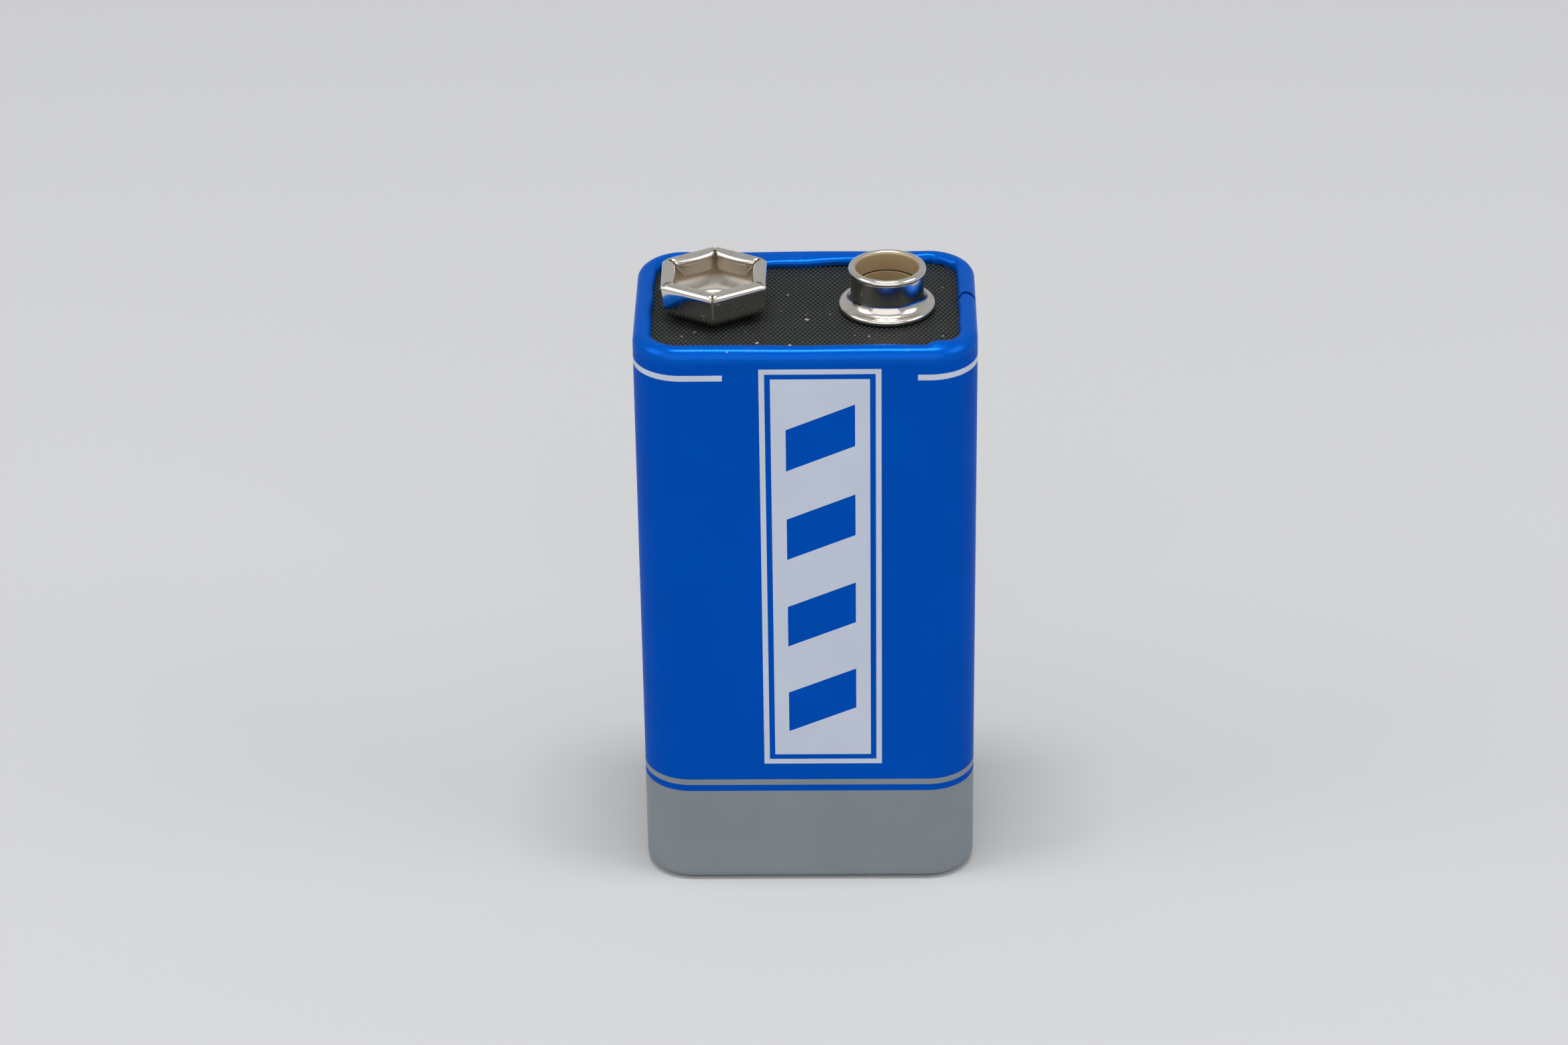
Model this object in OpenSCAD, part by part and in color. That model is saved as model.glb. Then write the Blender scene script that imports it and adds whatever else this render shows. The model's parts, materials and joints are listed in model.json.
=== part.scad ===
// Nine volt battery: a printed steel jacket rolled over a fibreboard terminal plate,
// with a round stud and a hexagonal spring socket, round a stack of six flat cells.
// Origin at the middle of the base, +Z up, the printed front faces -Y.

/* [Jacket] */
// Width of the jacket
body_w = 25.1; // [24:0.1:32]
// Depth of the jacket from front to back
body_d = 17.05; // [15.5:0.05:24]
// Height of the jacket, floor to the crest of the top roll
jacket_h = 45.57; // [43:0.01:60]
// Radius of the four upright corners
corner_r = 3.6; // [3:0.1:5]
// Thickness of the printed steel sheet
sheet_t = 0.25; // [0.15:0.05:0.3]
// Outer radius of the roll round the top edge
roll_r = 0.85; // [0.6:0.05:1]
// Radius of the lip that comes down inside the top roll
lip_r = 0.5; // [0.35:0.05:0.6]
// Radius of the fold round the bottom edge
fold_r = 0.85; // [0.5:0.05:1.1]
// Width of the flat lip folded in under the bottom plate
base_lip_w = 0.9; // [0.5:0.1:1.2]
// Width of the hairline at the side seam
seam_gap = 0.12; // [0.06:0.02:0.3]
// Distance of the side seam behind the middle of the right side
seam_y = 0.8; // [-2:0.1:2]

/* [Print] */
// Thickness of a field of ink
ink_t = 0.04; // [0.03:0.01:0.1]
// Top edge of the grey band
band_top = 8.07; // [5:0.01:8.5]
// Bottom edge of the grey pinstripe
pin_z = 8.62; // [8.6:0.01:12]
// Width of the grey pinstripe
pin_w = 0.48; // [0.2:0.02:1]
// Left edge of the white frame
frame_x = -3.36; // [-5:0.02:-2]
// Bottom edge of the white frame
frame_z = 10.52; // [10.2:0.01:14]
// Width of the white frame
frame_w = 8.88; // [6:0.02:11]
// Height of the white frame
frame_h = 33.58; // [20:0.02:33.7]
// Width of the frame's line
frame_line = 0.41; // [0.2:0.01:0.8]
// Width of the blue line between the frame and the panel
frame_gap = 0.42; // [0.2:0.01:0.8]
// Bottom edge of the white line near the top
line_z = 43.16; // [41:0.02:43.8]
// Width of the white line near the top
line_w = 0.45; // [0.2:0.01:0.8]
// Free space left between that line and the frame
line_gap = 2.63; // [1:0.01:3.2]
// Number of slanted bars left open in the white panel
bar_count = 4; // [1:1:6]
// Margin beside the bars, as a share of the panel's width
bar_side = 0.15; // [0.05:0.01:0.3]
// Rise of a bar's slant, as a share of the bars' spacing
bar_rise = 0.28; // [0:0.01:0.4]
// Height of a bar's side, as a share of the bars' spacing
bar_fill = 0.46; // [0.2:0.01:0.5]

/* [Terminals] */
// Distance of the socket's middle from the jacket's left side
neg_edge = 5.86; // [5.5:0.02:6.1]
// Distance of the stud's middle from the right side, 12.7 from the socket on a standard battery
pos_edge = 6.54; // [6.3:0.02:6.9]
// Height of the stud above the terminal plate
stud_h = 3.35; // [2.8:0.05:4]
// Radius of the stud's rolled top
stud_r = 2.87; // [2.7:0.01:2.95]
// Width of the ring that the rolled top shows from above
stud_ring = 0.57; // [0.5:0.01:0.65]
// How far the stud's neck stands in from its rolled top
neck_in = 0.17; // [0.16:0.01:0.25]
// Height of the straight band round the stud's rolled top
stud_band = 0.3; // [0.2:0.05:0.6]
// Radius of the stud's foot
stud_foot_r = 3.58; // [3.4:0.02:3.9]
// Radius of the rolled edge of that foot
foot_bead = 0.26; // [0.2:0.02:0.3]
// Radius of the concave flare between the foot and the neck
flare_r = 0.42; // [0.3:0.02:0.6]
// Thickness of the terminals' sheet
clip_t = 0.2; // [0.12:0.02:0.24]
// Depth of the lip turned down inside the stud
stud_lip = 1.2; // [0.8:0.05:1.6]
// Height of the socket above the terminal plate
socket_h = 3.0; // [2.6:0.05:3.6]
// Distance across the flats of the socket
socket_flats = 7.75; // [7.2:0.05:8.2]
// Radius of the curl on each petal
curl_r = 0.5; // [0.35:0.01:0.55]
// Length of the spring leaf that hangs down inside each curl
leaf_h = 0.9; // [0.6:0.05:1.2]
// Radius of the bend at the foot of each petal
petal_bend = 1.3; // [0.5:0.05:1.4]
// Width of the slits between the petals
slit = 0.16; // [0.08:0.02:0.3]
// Bore radius of the socket's eyelet
eyelet_bore = 1.35; // [0.8:0.05:1.4]
// Width of the eyelet's rolled head beyond its wall
eyelet_head = 0.65; // [0.4:0.05:0.7]
// Wall of the eyelet and of the rivet in the stud
eyelet_t = 0.2; // [0.15:0.01:0.25]
// Bore radius of the rivet in the stud
rivet_bore = 2.0; // [1.6:0.05:2.05]
// Width of the rivet's foot beyond its wall
rivet_foot = 0.5; // [0.3:0.05:0.5]

/* [Plates] */
// Depth of the terminal plate below the crest of the roll
plate_drop = 0.7; // [0.62:0.02:1.2]
// Thickness of the terminal plate
plate_t = 1.1; // [0.8:0.05:1.5]
// Thickness of the bottom plate
base_t = 1.2; // [1.1:0.05:2]
// Thickness of the card liner
liner_t = 0.3; // [0.15:0.05:0.35]
// Thickness of the sleeve round the cells
sleeve_t = 0.2; // [0.1:0.02:0.25]
// Thickness of the card on top of the cells
card_t = 0.8; // [0.4:0.05:1]
// Free space at each side of a piece that fits in another
fit = 0.05; // [0.02:0.01:0.08]

/* [Contacts] */
// Thickness of the contact strips
strip_t = 0.25; // [0.15:0.01:0.3]
// Width of the contact strips
strip_w = 5; // [3:0.1:6]
// Inner radius of the strips' bends
strip_bend = 0.3; // [0.1:0.05:0.5]
// Length of a strip past the foot of its rivet
strip_tail = 0.4; // [0.2:0.05:0.6]
// Left edge of the positive spring
spring_x = 0; // [-0.5:0.1:0.5]
// Length of the spring's lower leaf
spring_foot = 2.6; // [1.5:0.1:3]
// Radius of the boss that meets the lowest cell
boss_r = 4; // [2:0.1:5]
// Thickness of the plate on top of the cells
top_contact_t = 0.3; // [0.2:0.05:0.5]

/* [Cells] */
// Space above the cells for the card and the rivets
head_room = 2.02; // [1.9:0.01:4]
// Thickness of the film round a cell
film_t = 0.15; // [0.08:0.01:0.2]
// Width of the film folded over a cell's edge
film_lip = 1.4; // [1:0.1:2]
// Thickness of a zinc plate
zinc_t = 0.5; // [0.3:0.05:0.7]
// Thickness of a separator
paper_t = 0.2; // [0.1:0.05:0.3]

/* [Hidden] */
CELLS = 6;
$fn = 96;
bite = 1;

plate_top = jacket_h - plate_drop;
plate_low = plate_top - plate_t;
base_top = sheet_t + base_t;
neg_x = neg_edge - body_w / 2;
pos_x = body_w / 2 - pos_edge;

// How far the roll's inner face stands in from the jacket's side at the terminal plate's top
roll_rise = max(0, roll_r - plate_drop);
roll_inset = roll_r - sqrt(pow(roll_r - sheet_t, 2) - roll_rise * roll_rise);
plate_inset = max(sheet_t, roll_inset) + fit;
liner_inset = sheet_t + fit;
strip_inset = liner_inset + liner_t + fit;
sleeve_inset = strip_inset + strip_t + fit;
cell_inset = sleeve_inset + sleeve_t + fit;
core_inset = cell_inset + film_t + fit;
window_inset = cell_inset + film_lip;

strip_low = plate_low - strip_t;
stack_low = base_top + strip_t;
stack_top = plate_low - head_room - top_contact_t - film_t;
cell_pitch = (stack_top - stack_low) / CELLS;
contact_low = stack_top + film_t;
contact_top = contact_low + top_contact_t;

neck_r = stud_r - neck_in;
lip_in_r = stud_r - stud_ring;
bead_r = stud_ring / 2;
eyelet_r = eyelet_bore + eyelet_t;
eyelet_head_r = eyelet_r + eyelet_head;
rivet_r = rivet_bore + eyelet_t;
rivet_foot_r = rivet_r + rivet_foot;
rivet_top = plate_top + stud_h - bead_r - stud_lip;
curl_z = plate_top + socket_h - curl_r;
petal_r = socket_flats / 2;

panel_edge = frame_line + frame_gap;
panel_w = frame_w - 2 * panel_edge;
panel_h = frame_h - 2 * panel_edge;
bar_margin = panel_w * bar_side;
bar_step = (panel_h - 2 * bar_margin) / bar_count;
bar_slant = bar_step * bar_rise;
bar_h = bar_step * bar_fill;
bar_low = bar_margin + (bar_step - bar_h - bar_slant) / 2;

CELL_NODES = [for (i = [1:CELLS]) each [
    str("cell_", i, "_zinc_plate"), str("cell_", i, "_separator"),
    str("cell_", i, "_cathode_cake"), str("cell_", i, "_film")]];

// Rounded rectangle that stands in from the jacket's side by inset
module outline(inset) {
    r = corner_r - inset;
    w = body_w - 2 * corner_r;
    d = body_d - 2 * corner_r;
    square([w + 2 * r, d], center = true);
    square([w, d + 2 * r], center = true);
    for (sx = [-1, 1]) for (sy = [-1, 1])
        translate([sx * w / 2, sy * d / 2]) circle(r);
}

module slab(inset, z, t) {
    translate([0, 0, z]) linear_extrude(t) outline(inset);
}

module tube(inset, wall, z, h) {
    translate([0, 0, z]) linear_extrude(h) difference() {
        outline(inset);
        outline(inset + wall);
    }
}

// Runs a section round the jacket: its x is the distance from the upright corner's centre
module around() {
    w = body_w - 2 * corner_r;
    d = body_d - 2 * corner_r;
    for (q = [0:3]) {
        across = q % 2 == 0 ? w : d;
        along = q % 2 == 0 ? d : w;
        rotate([0, 0, 90 * q]) {
            translate([across / 2, along / 2, 0]) rotate_extrude(angle = 90) children();
            translate([across / 2, along / 2, 0]) rotate([90, 0, 0]) linear_extrude(along) children();
        }
    }
}

// Quarter of a ring: sx and sy say which quarter, as seen from its centre
module quarter_ring(r, t, sx, sy) {
    intersection() {
        difference() {
            circle(r);
            circle(r - t);
        }
        translate([sx > 0 ? 0 : -r, sy > 0 ? 0 : -r]) square(r);
    }
}

// Section of the jacket: flat base lip, fold, wall, roll and the lip inside it
module jacket_section() {
    translate([corner_r - fold_r - base_lip_w, 0]) square([base_lip_w, sheet_t]);
    translate([corner_r - fold_r, fold_r]) quarter_ring(fold_r, sheet_t, 1, -1);
    translate([corner_r - sheet_t, fold_r]) square([sheet_t, jacket_h - fold_r - roll_r]);
    translate([corner_r - roll_r, jacket_h - roll_r]) quarter_ring(roll_r, sheet_t, 1, 1);
    translate([corner_r - roll_r, jacket_h - lip_r]) quarter_ring(lip_r, sheet_t, -1, 1);
    translate([corner_r - roll_r - lip_r, plate_top]) square([sheet_t, plate_drop - lip_r]);
}

module seam_cut() {
    translate([body_w / 2 - corner_r, seam_y - seam_gap / 2, -bite])
        cube([corner_r + bite, seam_gap, jacket_h + 2 * bite]);
}

module jacket() {
    color([0.02, 0.28, 0.68]) difference() {
        around() jacket_section();
        seam_cut();
    }
}

module ink_ring(z, h) {
    difference() {
        around() translate([corner_r, z]) square([ink_t, h]);
        seam_cut();
    }
}

// The grey field follows the bottom fold to just above the floor
module grey_band() {
    color([0.49, 0.52, 0.55]) difference() {
        around() {
            translate([corner_r, fold_r]) square([ink_t, band_top - fold_r]);
            intersection() {
                translate([corner_r - fold_r, fold_r]) quarter_ring(fold_r + ink_t, ink_t, 1, -1);
                translate([0, 2 * ink_t]) square([corner_r + bite, fold_r]);
            }
        }
        seam_cut();
    }
}

module grey_pinstripe() {
    color([0.49, 0.52, 0.55]) ink_ring(pin_z, pin_w);
}

// Places a flat drawing of x and z on the front as ink
module front_ink() {
    translate([0, -body_d / 2, 0]) rotate([90, 0, 0]) linear_extrude(ink_t) children();
}

module white_frame() {
    color([0.8, 0.82, 0.88]) front_ink() difference() {
        translate([frame_x, frame_z]) square([frame_w, frame_h]);
        translate([frame_x + frame_line, frame_z + frame_line])
            square([frame_w - 2 * frame_line, frame_h - 2 * frame_line]);
    }
}

module slanted_bar(z) {
    polygon([
        [bar_margin, z], [panel_w - bar_margin, z + bar_slant],
        [panel_w - bar_margin, z + bar_slant + bar_h], [bar_margin, z + bar_h]]);
}

// The panel, with slanted bars left open so that the blue shows
module white_panel() {
    color([0.8, 0.82, 0.88]) front_ink()
        translate([frame_x + panel_edge, frame_z + panel_edge]) difference() {
            square([panel_w, panel_h]);
            for (i = [0:bar_count - 1]) slanted_bar(bar_low + i * bar_step);
        }
}

// The line runs round the back from one side of the frame to the other
module white_top_line() {
    color([0.8, 0.82, 0.88]) difference() {
        ink_ring(line_z, line_w);
        translate([frame_x - line_gap, -body_d / 2 - bite, line_z - bite])
            cube([frame_w + 2 * line_gap, 2 * bite, line_w + 2 * bite]);
    }
}

module terminal_plate() {
    color([0.16, 0.17, 0.17]) difference() {
        slab(plate_inset, plate_low, plate_t);
        translate([neg_x, 0, plate_low - bite]) cylinder(h = plate_t + 2 * bite, r = eyelet_r + fit);
        translate([pos_x, 0, plate_low - bite]) cylinder(h = plate_t + 2 * bite, r = rivet_r + fit);
    }
}

// Section of the stud: rolled foot, concave flare, neck, rolled top and the lip inside
module stud_section() {
    foot_x = stud_foot_r - foot_bead;
    foot_h = 2 * foot_bead;
    flare_h = foot_h + flare_r;
    top_z = stud_h - bead_r;
    intersection() {
        translate([foot_x, foot_bead]) circle(foot_bead);
        square([stud_foot_r, foot_h]);
    }
    translate([neck_r, foot_h - clip_t]) square([foot_x - neck_r, clip_t]);
    difference() {
        translate([neck_r - clip_t, foot_h - clip_t]) square([clip_t + flare_r, clip_t + flare_r]);
        translate([neck_r + flare_r, flare_h]) circle(flare_r);
    }
    translate([neck_r - clip_t, foot_h - clip_t]) square([clip_t, top_z - foot_h + clip_t]);
    translate([lip_in_r + bead_r, top_z]) circle(bead_r);
    translate([lip_in_r, top_z - stud_band]) square([2 * bead_r, stud_band]);
    translate([lip_in_r + bead_r, top_z - stud_band]) circle(bead_r);
    translate([lip_in_r, top_z - stud_lip]) square([clip_t, stud_lip]);
}

module positive_stud() {
    color([0.75, 0.74, 0.7]) translate([pos_x, 0, plate_top]) rotate_extrude() stud_section();
}

// Cup rivet: its foot holds the spring under the plate and its mouth stands inside the stud
module positive_rivet() {
    color([0.6, 0.52, 0.36]) translate([pos_x, 0, 0]) rotate_extrude() {
        translate([rivet_bore, strip_low - eyelet_t])
            square([eyelet_t, rivet_top - strip_low + eyelet_t]);
        translate([rivet_bore, strip_low - eyelet_t]) square([rivet_foot_r - rivet_bore, eyelet_t]);
        translate([0, plate_low]) square([rivet_bore + eyelet_t / 2, eyelet_t]);
    }
}

// Section of one petal: floor, bend, upright wall, the curl at its top and the leaf inside
module petal_section() {
    floor_r = petal_r - petal_bend;
    translate([eyelet_r + fit, plate_top]) square([floor_r - eyelet_r - fit, clip_t]);
    translate([floor_r, plate_top + petal_bend]) quarter_ring(petal_bend, clip_t, 1, -1);
    translate([petal_r - clip_t, plate_top + petal_bend])
        square([clip_t, curl_z - plate_top - petal_bend]);
    translate([petal_r - curl_r, curl_z]) {
        quarter_ring(curl_r, clip_t, 1, 1);
        quarter_ring(curl_r, clip_t, -1, 1);
        translate([-curl_r, -leaf_h]) square([clip_t, leaf_h]);
    }
}

// One sixth of the socket, short of its neighbours by half a slit at each side
module petal() {
    half = petal_r * tan(30);
    apex = slit / 2 / sin(30);
    intersection() {
        rotate([90, 0, 0]) translate([0, 0, -half]) linear_extrude(2 * half) petal_section();
        translate([0, 0, plate_top - bite]) linear_extrude(socket_h + 2 * bite)
            polygon([[apex, 0], [petal_r + apex, -half], [petal_r + apex, half]]);
    }
}

module negative_socket() {
    color([0.75, 0.74, 0.7]) translate([neg_x, 0, 0]) {
        for (i = [0:5]) rotate([0, 0, 60 * i]) petal();
        difference() {
            translate([0, 0, plate_top]) cylinder(h = clip_t, r = petal_r - petal_bend);
            translate([0, 0, plate_top - bite]) cylinder(h = clip_t + 2 * bite, r = eyelet_r + fit);
        }
    }
}

// Hollow eyelet: a rolled head on the socket's floor, a flat tail under the strip
module negative_eyelet() {
    head_low = plate_top + clip_t;
    head_r = (eyelet_head_r - eyelet_bore) / 2;
    color([0.7, 0.69, 0.66]) translate([neg_x, 0, 0]) rotate_extrude() {
        translate([eyelet_bore, strip_low - eyelet_t])
            square([eyelet_t, head_low - strip_low + eyelet_t]);
        translate([eyelet_bore, strip_low - eyelet_t]) square([eyelet_head_r - eyelet_bore, eyelet_t]);
        intersection() {
            translate([eyelet_bore + head_r, head_low]) circle(head_r);
            translate([eyelet_bore, head_low]) square(2 * head_r);
        }
    }
}

// Bend of a strip, from its centre, for a strip that lies outside the given quarter
module strip_corner(sx, sy) {
    quarter_ring(strip_bend + strip_t, strip_t, sx, sy);
}

// Strip from the socket's eyelet, down the left side of the cells and under the lowest
module negative_strip() {
    side = body_w / 2 - strip_inset;
    knee = strip_bend + strip_t;
    tail = eyelet_head_r + strip_tail;
    color([0.72, 0.72, 0.72]) difference() {
        union() {
            translate([0, strip_w / 2, 0]) rotate([90, 0, 0]) linear_extrude(strip_w) {
                translate([-side + knee, strip_low]) square([side - knee + neg_x + tail, strip_t]);
                translate([-side + knee, plate_low - knee]) strip_corner(-1, 1);
                translate([-side, base_top + knee]) square([strip_t, plate_low - base_top - 2 * knee]);
                translate([-side + knee, base_top + knee]) strip_corner(-1, -1);
                translate([-side + knee, base_top]) square([side - knee + boss_r, strip_t]);
            }
            translate([0, 0, base_top]) cylinder(h = strip_t + film_t, r = boss_r);
        }
        translate([neg_x, 0, strip_low - bite]) cylinder(h = strip_t + 2 * bite, r = eyelet_r + fit);
    }
}

// Spring from the stud's rivet, folded back on to the plate on top of the cells
module positive_spring() {
    knee = strip_bend + strip_t;
    far = pos_x + rivet_foot_r + strip_tail;
    color([0.72, 0.72, 0.72]) difference() {
        translate([0, strip_w / 2, 0]) rotate([90, 0, 0]) linear_extrude(strip_w) {
            translate([spring_x + knee, strip_low]) square([far - spring_x - knee, strip_t]);
            translate([spring_x + knee, plate_low - knee]) strip_corner(-1, 1);
            translate([spring_x, contact_top + knee])
                square([strip_t, plate_low - contact_top - 2 * knee]);
            translate([spring_x + knee, contact_top + knee]) strip_corner(-1, -1);
            translate([spring_x + knee, contact_top]) square([spring_foot - knee, strip_t]);
        }
        translate([pos_x, 0, strip_low - bite]) cylinder(h = strip_t + 2 * bite, r = rivet_r + fit);
    }
}
module top_contact_plate() {
    color([0.3, 0.3, 0.3]) slab(cell_inset, contact_low, top_contact_t);
}

module top_card() {
    color([0.72, 0.6, 0.42]) difference() {
        slab(cell_inset, contact_top, card_t);
        translate([spring_x - fit - strip_t, -strip_w / 2 - strip_t, contact_top - bite])
            cube([spring_foot + 2 * strip_t + 2 * fit, strip_w + 2 * strip_t, card_t + 2 * bite]);
    }
}

// Starts above the strip's lower bend
module cell_sleeve() {
    low = stack_low + strip_bend;
    color([0.85, 0.85, 0.82]) tube(sleeve_inset, sleeve_t, low, contact_top - low);
}

module card_liner() {
    color([0.72, 0.6, 0.42]) tube(liner_inset, liner_t, base_top, plate_low - base_top);
}

// Stepped so that it clears the inside of the bottom fold
module bottom_plate() {
    color([0.16, 0.17, 0.17]) {
        slab(fold_r + fit, sheet_t, base_t);
        slab(sheet_t + fit, fold_r, base_top - fold_r);
    }
}

function cell_low(i) = stack_low + i * cell_pitch;

module cell_zinc_plate(i) {
    color([0.6, 0.62, 0.64]) slab(core_inset, cell_low(i) + film_t, zinc_t);
}

module cell_separator(i) {
    color([0.85, 0.82, 0.72]) slab(core_inset, cell_low(i) + film_t + zinc_t, paper_t);
}

// Pressed cake with a raised middle that meets the next cell through the film's window
module cell_cathode_cake(i) {
    cake_low = cell_low(i) + film_t + zinc_t + paper_t;
    cake_top = cell_low(i + 1);
    color([0.1, 0.1, 0.1]) {
        slab(core_inset, cake_low, cake_top - film_t - cake_low);
        slab(window_inset + fit, cake_low, cake_top + film_t - cake_low);
    }
}

// Film folded over the edges of the cell, open in the middle at both ends
module cell_film(i) {
    color([0.8, 0.85, 0.85]) difference() {
        slab(cell_inset, cell_low(i), cell_pitch);
        slab(core_inset - fit, cell_low(i) + film_t, cell_pitch - 2 * film_t);
        slab(window_inset, cell_low(i) - bite, cell_pitch + 2 * bite);
    }
}

jacket();
grey_band();
grey_pinstripe();
white_frame();
white_panel();
white_top_line();
terminal_plate();
positive_stud();
positive_rivet();
positive_spring();
negative_socket();
negative_eyelet();
negative_strip();
top_contact_plate();
top_card();
cell_sleeve();
card_liner();
bottom_plate();
for (i = [1:CELLS]) {
    cell_zinc_plate(i - 1);
    cell_separator(i - 1);
    cell_cathode_cake(i - 1);
    cell_film(i - 1);
}
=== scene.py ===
"""Looks of a nine volt battery: printed steel jacket, fibre terminal plate, stud and hexagonal socket."""
import json
import logging
import math
from dataclasses import dataclass
from enum import Enum
from functools import cache

import bmesh
import bpy
import numpy as np
from bpy.types import Material, Node, NodeSocket, NodeTree, Object
from mathutils import Matrix, Vector


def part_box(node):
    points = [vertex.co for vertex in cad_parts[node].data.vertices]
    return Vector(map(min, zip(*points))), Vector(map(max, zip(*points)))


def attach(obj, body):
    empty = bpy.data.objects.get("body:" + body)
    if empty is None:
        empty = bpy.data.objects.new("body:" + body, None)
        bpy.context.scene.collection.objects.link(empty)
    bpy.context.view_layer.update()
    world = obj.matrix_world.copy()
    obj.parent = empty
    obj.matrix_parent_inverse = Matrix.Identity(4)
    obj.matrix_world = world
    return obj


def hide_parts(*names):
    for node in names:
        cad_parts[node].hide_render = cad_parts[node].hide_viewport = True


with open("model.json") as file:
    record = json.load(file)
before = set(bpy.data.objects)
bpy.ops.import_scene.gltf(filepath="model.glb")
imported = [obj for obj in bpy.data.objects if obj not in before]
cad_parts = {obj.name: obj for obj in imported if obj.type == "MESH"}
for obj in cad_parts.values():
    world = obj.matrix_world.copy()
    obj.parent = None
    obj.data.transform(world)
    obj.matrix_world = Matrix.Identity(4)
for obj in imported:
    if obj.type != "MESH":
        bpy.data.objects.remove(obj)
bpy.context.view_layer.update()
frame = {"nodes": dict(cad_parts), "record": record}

MM = 0.001
PHOTO_W = 2353.0
SENSOR_MM = 36.0
SAME_POINT = 1e-6
TINY = 1e-9
END_GAP = 1e-4
MERGE_M = 1e-7
LOG = logging.getLogger("nine_volt_battery")

Array = np.ndarray
Point = tuple[float, float, float]
Colour = tuple[float, float, float, float]
Grids = tuple[Array, Array]


class Slot(Enum):
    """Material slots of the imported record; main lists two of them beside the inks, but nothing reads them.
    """

    BLUE = "blue_jacket"
    GREY = "grey_ink"
    WHITE = "white_ink"
    FIBRE = "black_fibre"
    NICKEL = "nickel"
    BRASS = "tarnished_brass"


# Curves


def arc(cx: float, cz: float, r: float, start: float, end: float, count: int) -> Array:
    """Points on an arc: centre plus radius times the cosine and sine of evenly spaced angles."""
    angle = np.radians(np.linspace(start, end, count))
    return np.stack([cx + r * np.cos(angle), cz + r * np.sin(angle)], axis=1)


def line(x0: float, z0: float, x1: float, z1: float, count: int) -> Array:
    """Evenly spaced points from one end of a straight line to the other."""
    t = np.linspace(0.0, 1.0, count)
    return np.stack([x0 + (x1 - x0) * t, z0 + (z1 - z0) * t], axis=1)


def joined(*runs: Array) -> Array:
    """Runs of points end to end, without the points that repeat.

    Args:
        runs: Arrays of points, each starting where the last one ends.

    Returns:
        One array of points.
    """
    points = np.concatenate(runs)
    keep = np.ones(len(points), dtype=bool)
    keep[1:] = np.linalg.norm(np.diff(points, axis=0), axis=1) > SAME_POINT
    return points[keep]


def chain(corners: list[tuple[float, float]], counts: tuple[int, ...]) -> Array:
    """Straight lines from corner to corner."""
    return joined(*(line(*a, *b, count) for a, b, count in zip(corners, corners[1:], counts)))


def bump(x: Array, centre: float, width: float) -> Array:
    """Bell curve: e to the minus square of the distance from the centre over the width."""
    return np.exp(-(((x - centre) / width) ** 2))


def step(x: Array, low: float, high: float) -> Array:
    """Smooth step: 3 t squared less 2 t cubed, where t runs from 0 at low to 1 at high."""
    t = np.clip((x - low) / (high - low), 0.0, 1.0)
    return t * t * (3.0 - 2.0 * t)


def wave(x: Array, lengths: tuple[float, ...], phase: float, shift: float = 1.7) -> Array:
    """Mean of sines of the given wavelengths, each with its own phase, the last one's plus a shift."""
    return sum(np.sin(2.0 * np.pi * x / length + phase + shift * i)
               for i, length in enumerate(lengths)) / len(lengths)


# Meshes from arrays


def quads(rows: int, cols: int, wrap_rows: bool = False, wrap_cols: bool = False) -> Array:
    """Four corners of each cell of a grid whose points are stored row by row.

    Args:
        rows, cols: Number of rows, and of points in a row.
        wrap_rows, wrap_cols: Whether the last row or column joins the first.

    Returns:
        Faces of four point numbers.
    """
    i = np.arange(rows if wrap_rows else rows - 1)[:, None]
    j = np.arange(cols if wrap_cols else cols - 1)[None, :]
    i1 = (i + 1) % rows
    j1 = (j + 1) % cols
    corners = [i * cols + j, i * cols + j1, i1 * cols + j1, i1 * cols + j]
    return np.stack([c.ravel() for c in corners], axis=1)


def edge_loop(rows: int, cols: int) -> Array:
    """Numbers of the points round the edge of a grid stored row by row."""
    index = np.arange(rows * cols).reshape(rows, cols)
    return np.concatenate([index[0, :], index[1:, -1], index[-1, -2::-1], index[-2:0:-1, 0]])


def mesh_points(piece: Object) -> Array:
    """Points of a mesh, in mm.

    Args:
        piece: Mesh to read.

    Returns:
        Rows of three coordinates.
    """
    points = np.empty(len(piece.data.vertices) * 3, dtype=np.float32)
    piece.data.vertices.foreach_get("co", points)
    return points.reshape(-1, 3).astype(float) / MM


def make_mesh(name: str, points: Array, faces: list, sharp: float) -> Object:
    """Closed smooth piece from points in mm; all its faces are turned over if its volume is negative.

    Args:
        name: Name of the piece.
        points: Rows of three coordinates, in mm.
        faces: Faces as lists of point numbers, which all agree.
        sharp: Angle in degrees past which an edge is sharp.

    Returns:
        The new object, at the origin.
    """
    mesh = bpy.data.meshes.new(name)
    mesh.from_pydata((points * MM).tolist(), [], faces)
    mesh.validate()
    mesh.update()
    mesh.shade_smooth()
    mesh.set_sharp_from_angle(angle=math.radians(sharp))
    piece = bpy.data.objects.new(name, mesh)
    bpy.context.scene.collection.objects.link(piece)
    mesh.calc_loop_triangles()
    corners = np.empty(len(mesh.loop_triangles) * 3, dtype=np.int32)
    mesh.loop_triangles.foreach_get("vertices", corners)
    triangles = mesh_points(piece)[corners.reshape(-1, 3)]
    volume = np.einsum("ij,ij->i", triangles[:, 0], np.cross(triangles[:, 1], triangles[:, 2])).sum()
    if volume < 0.0:
        mesh.flip_normals()
    return piece


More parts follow.
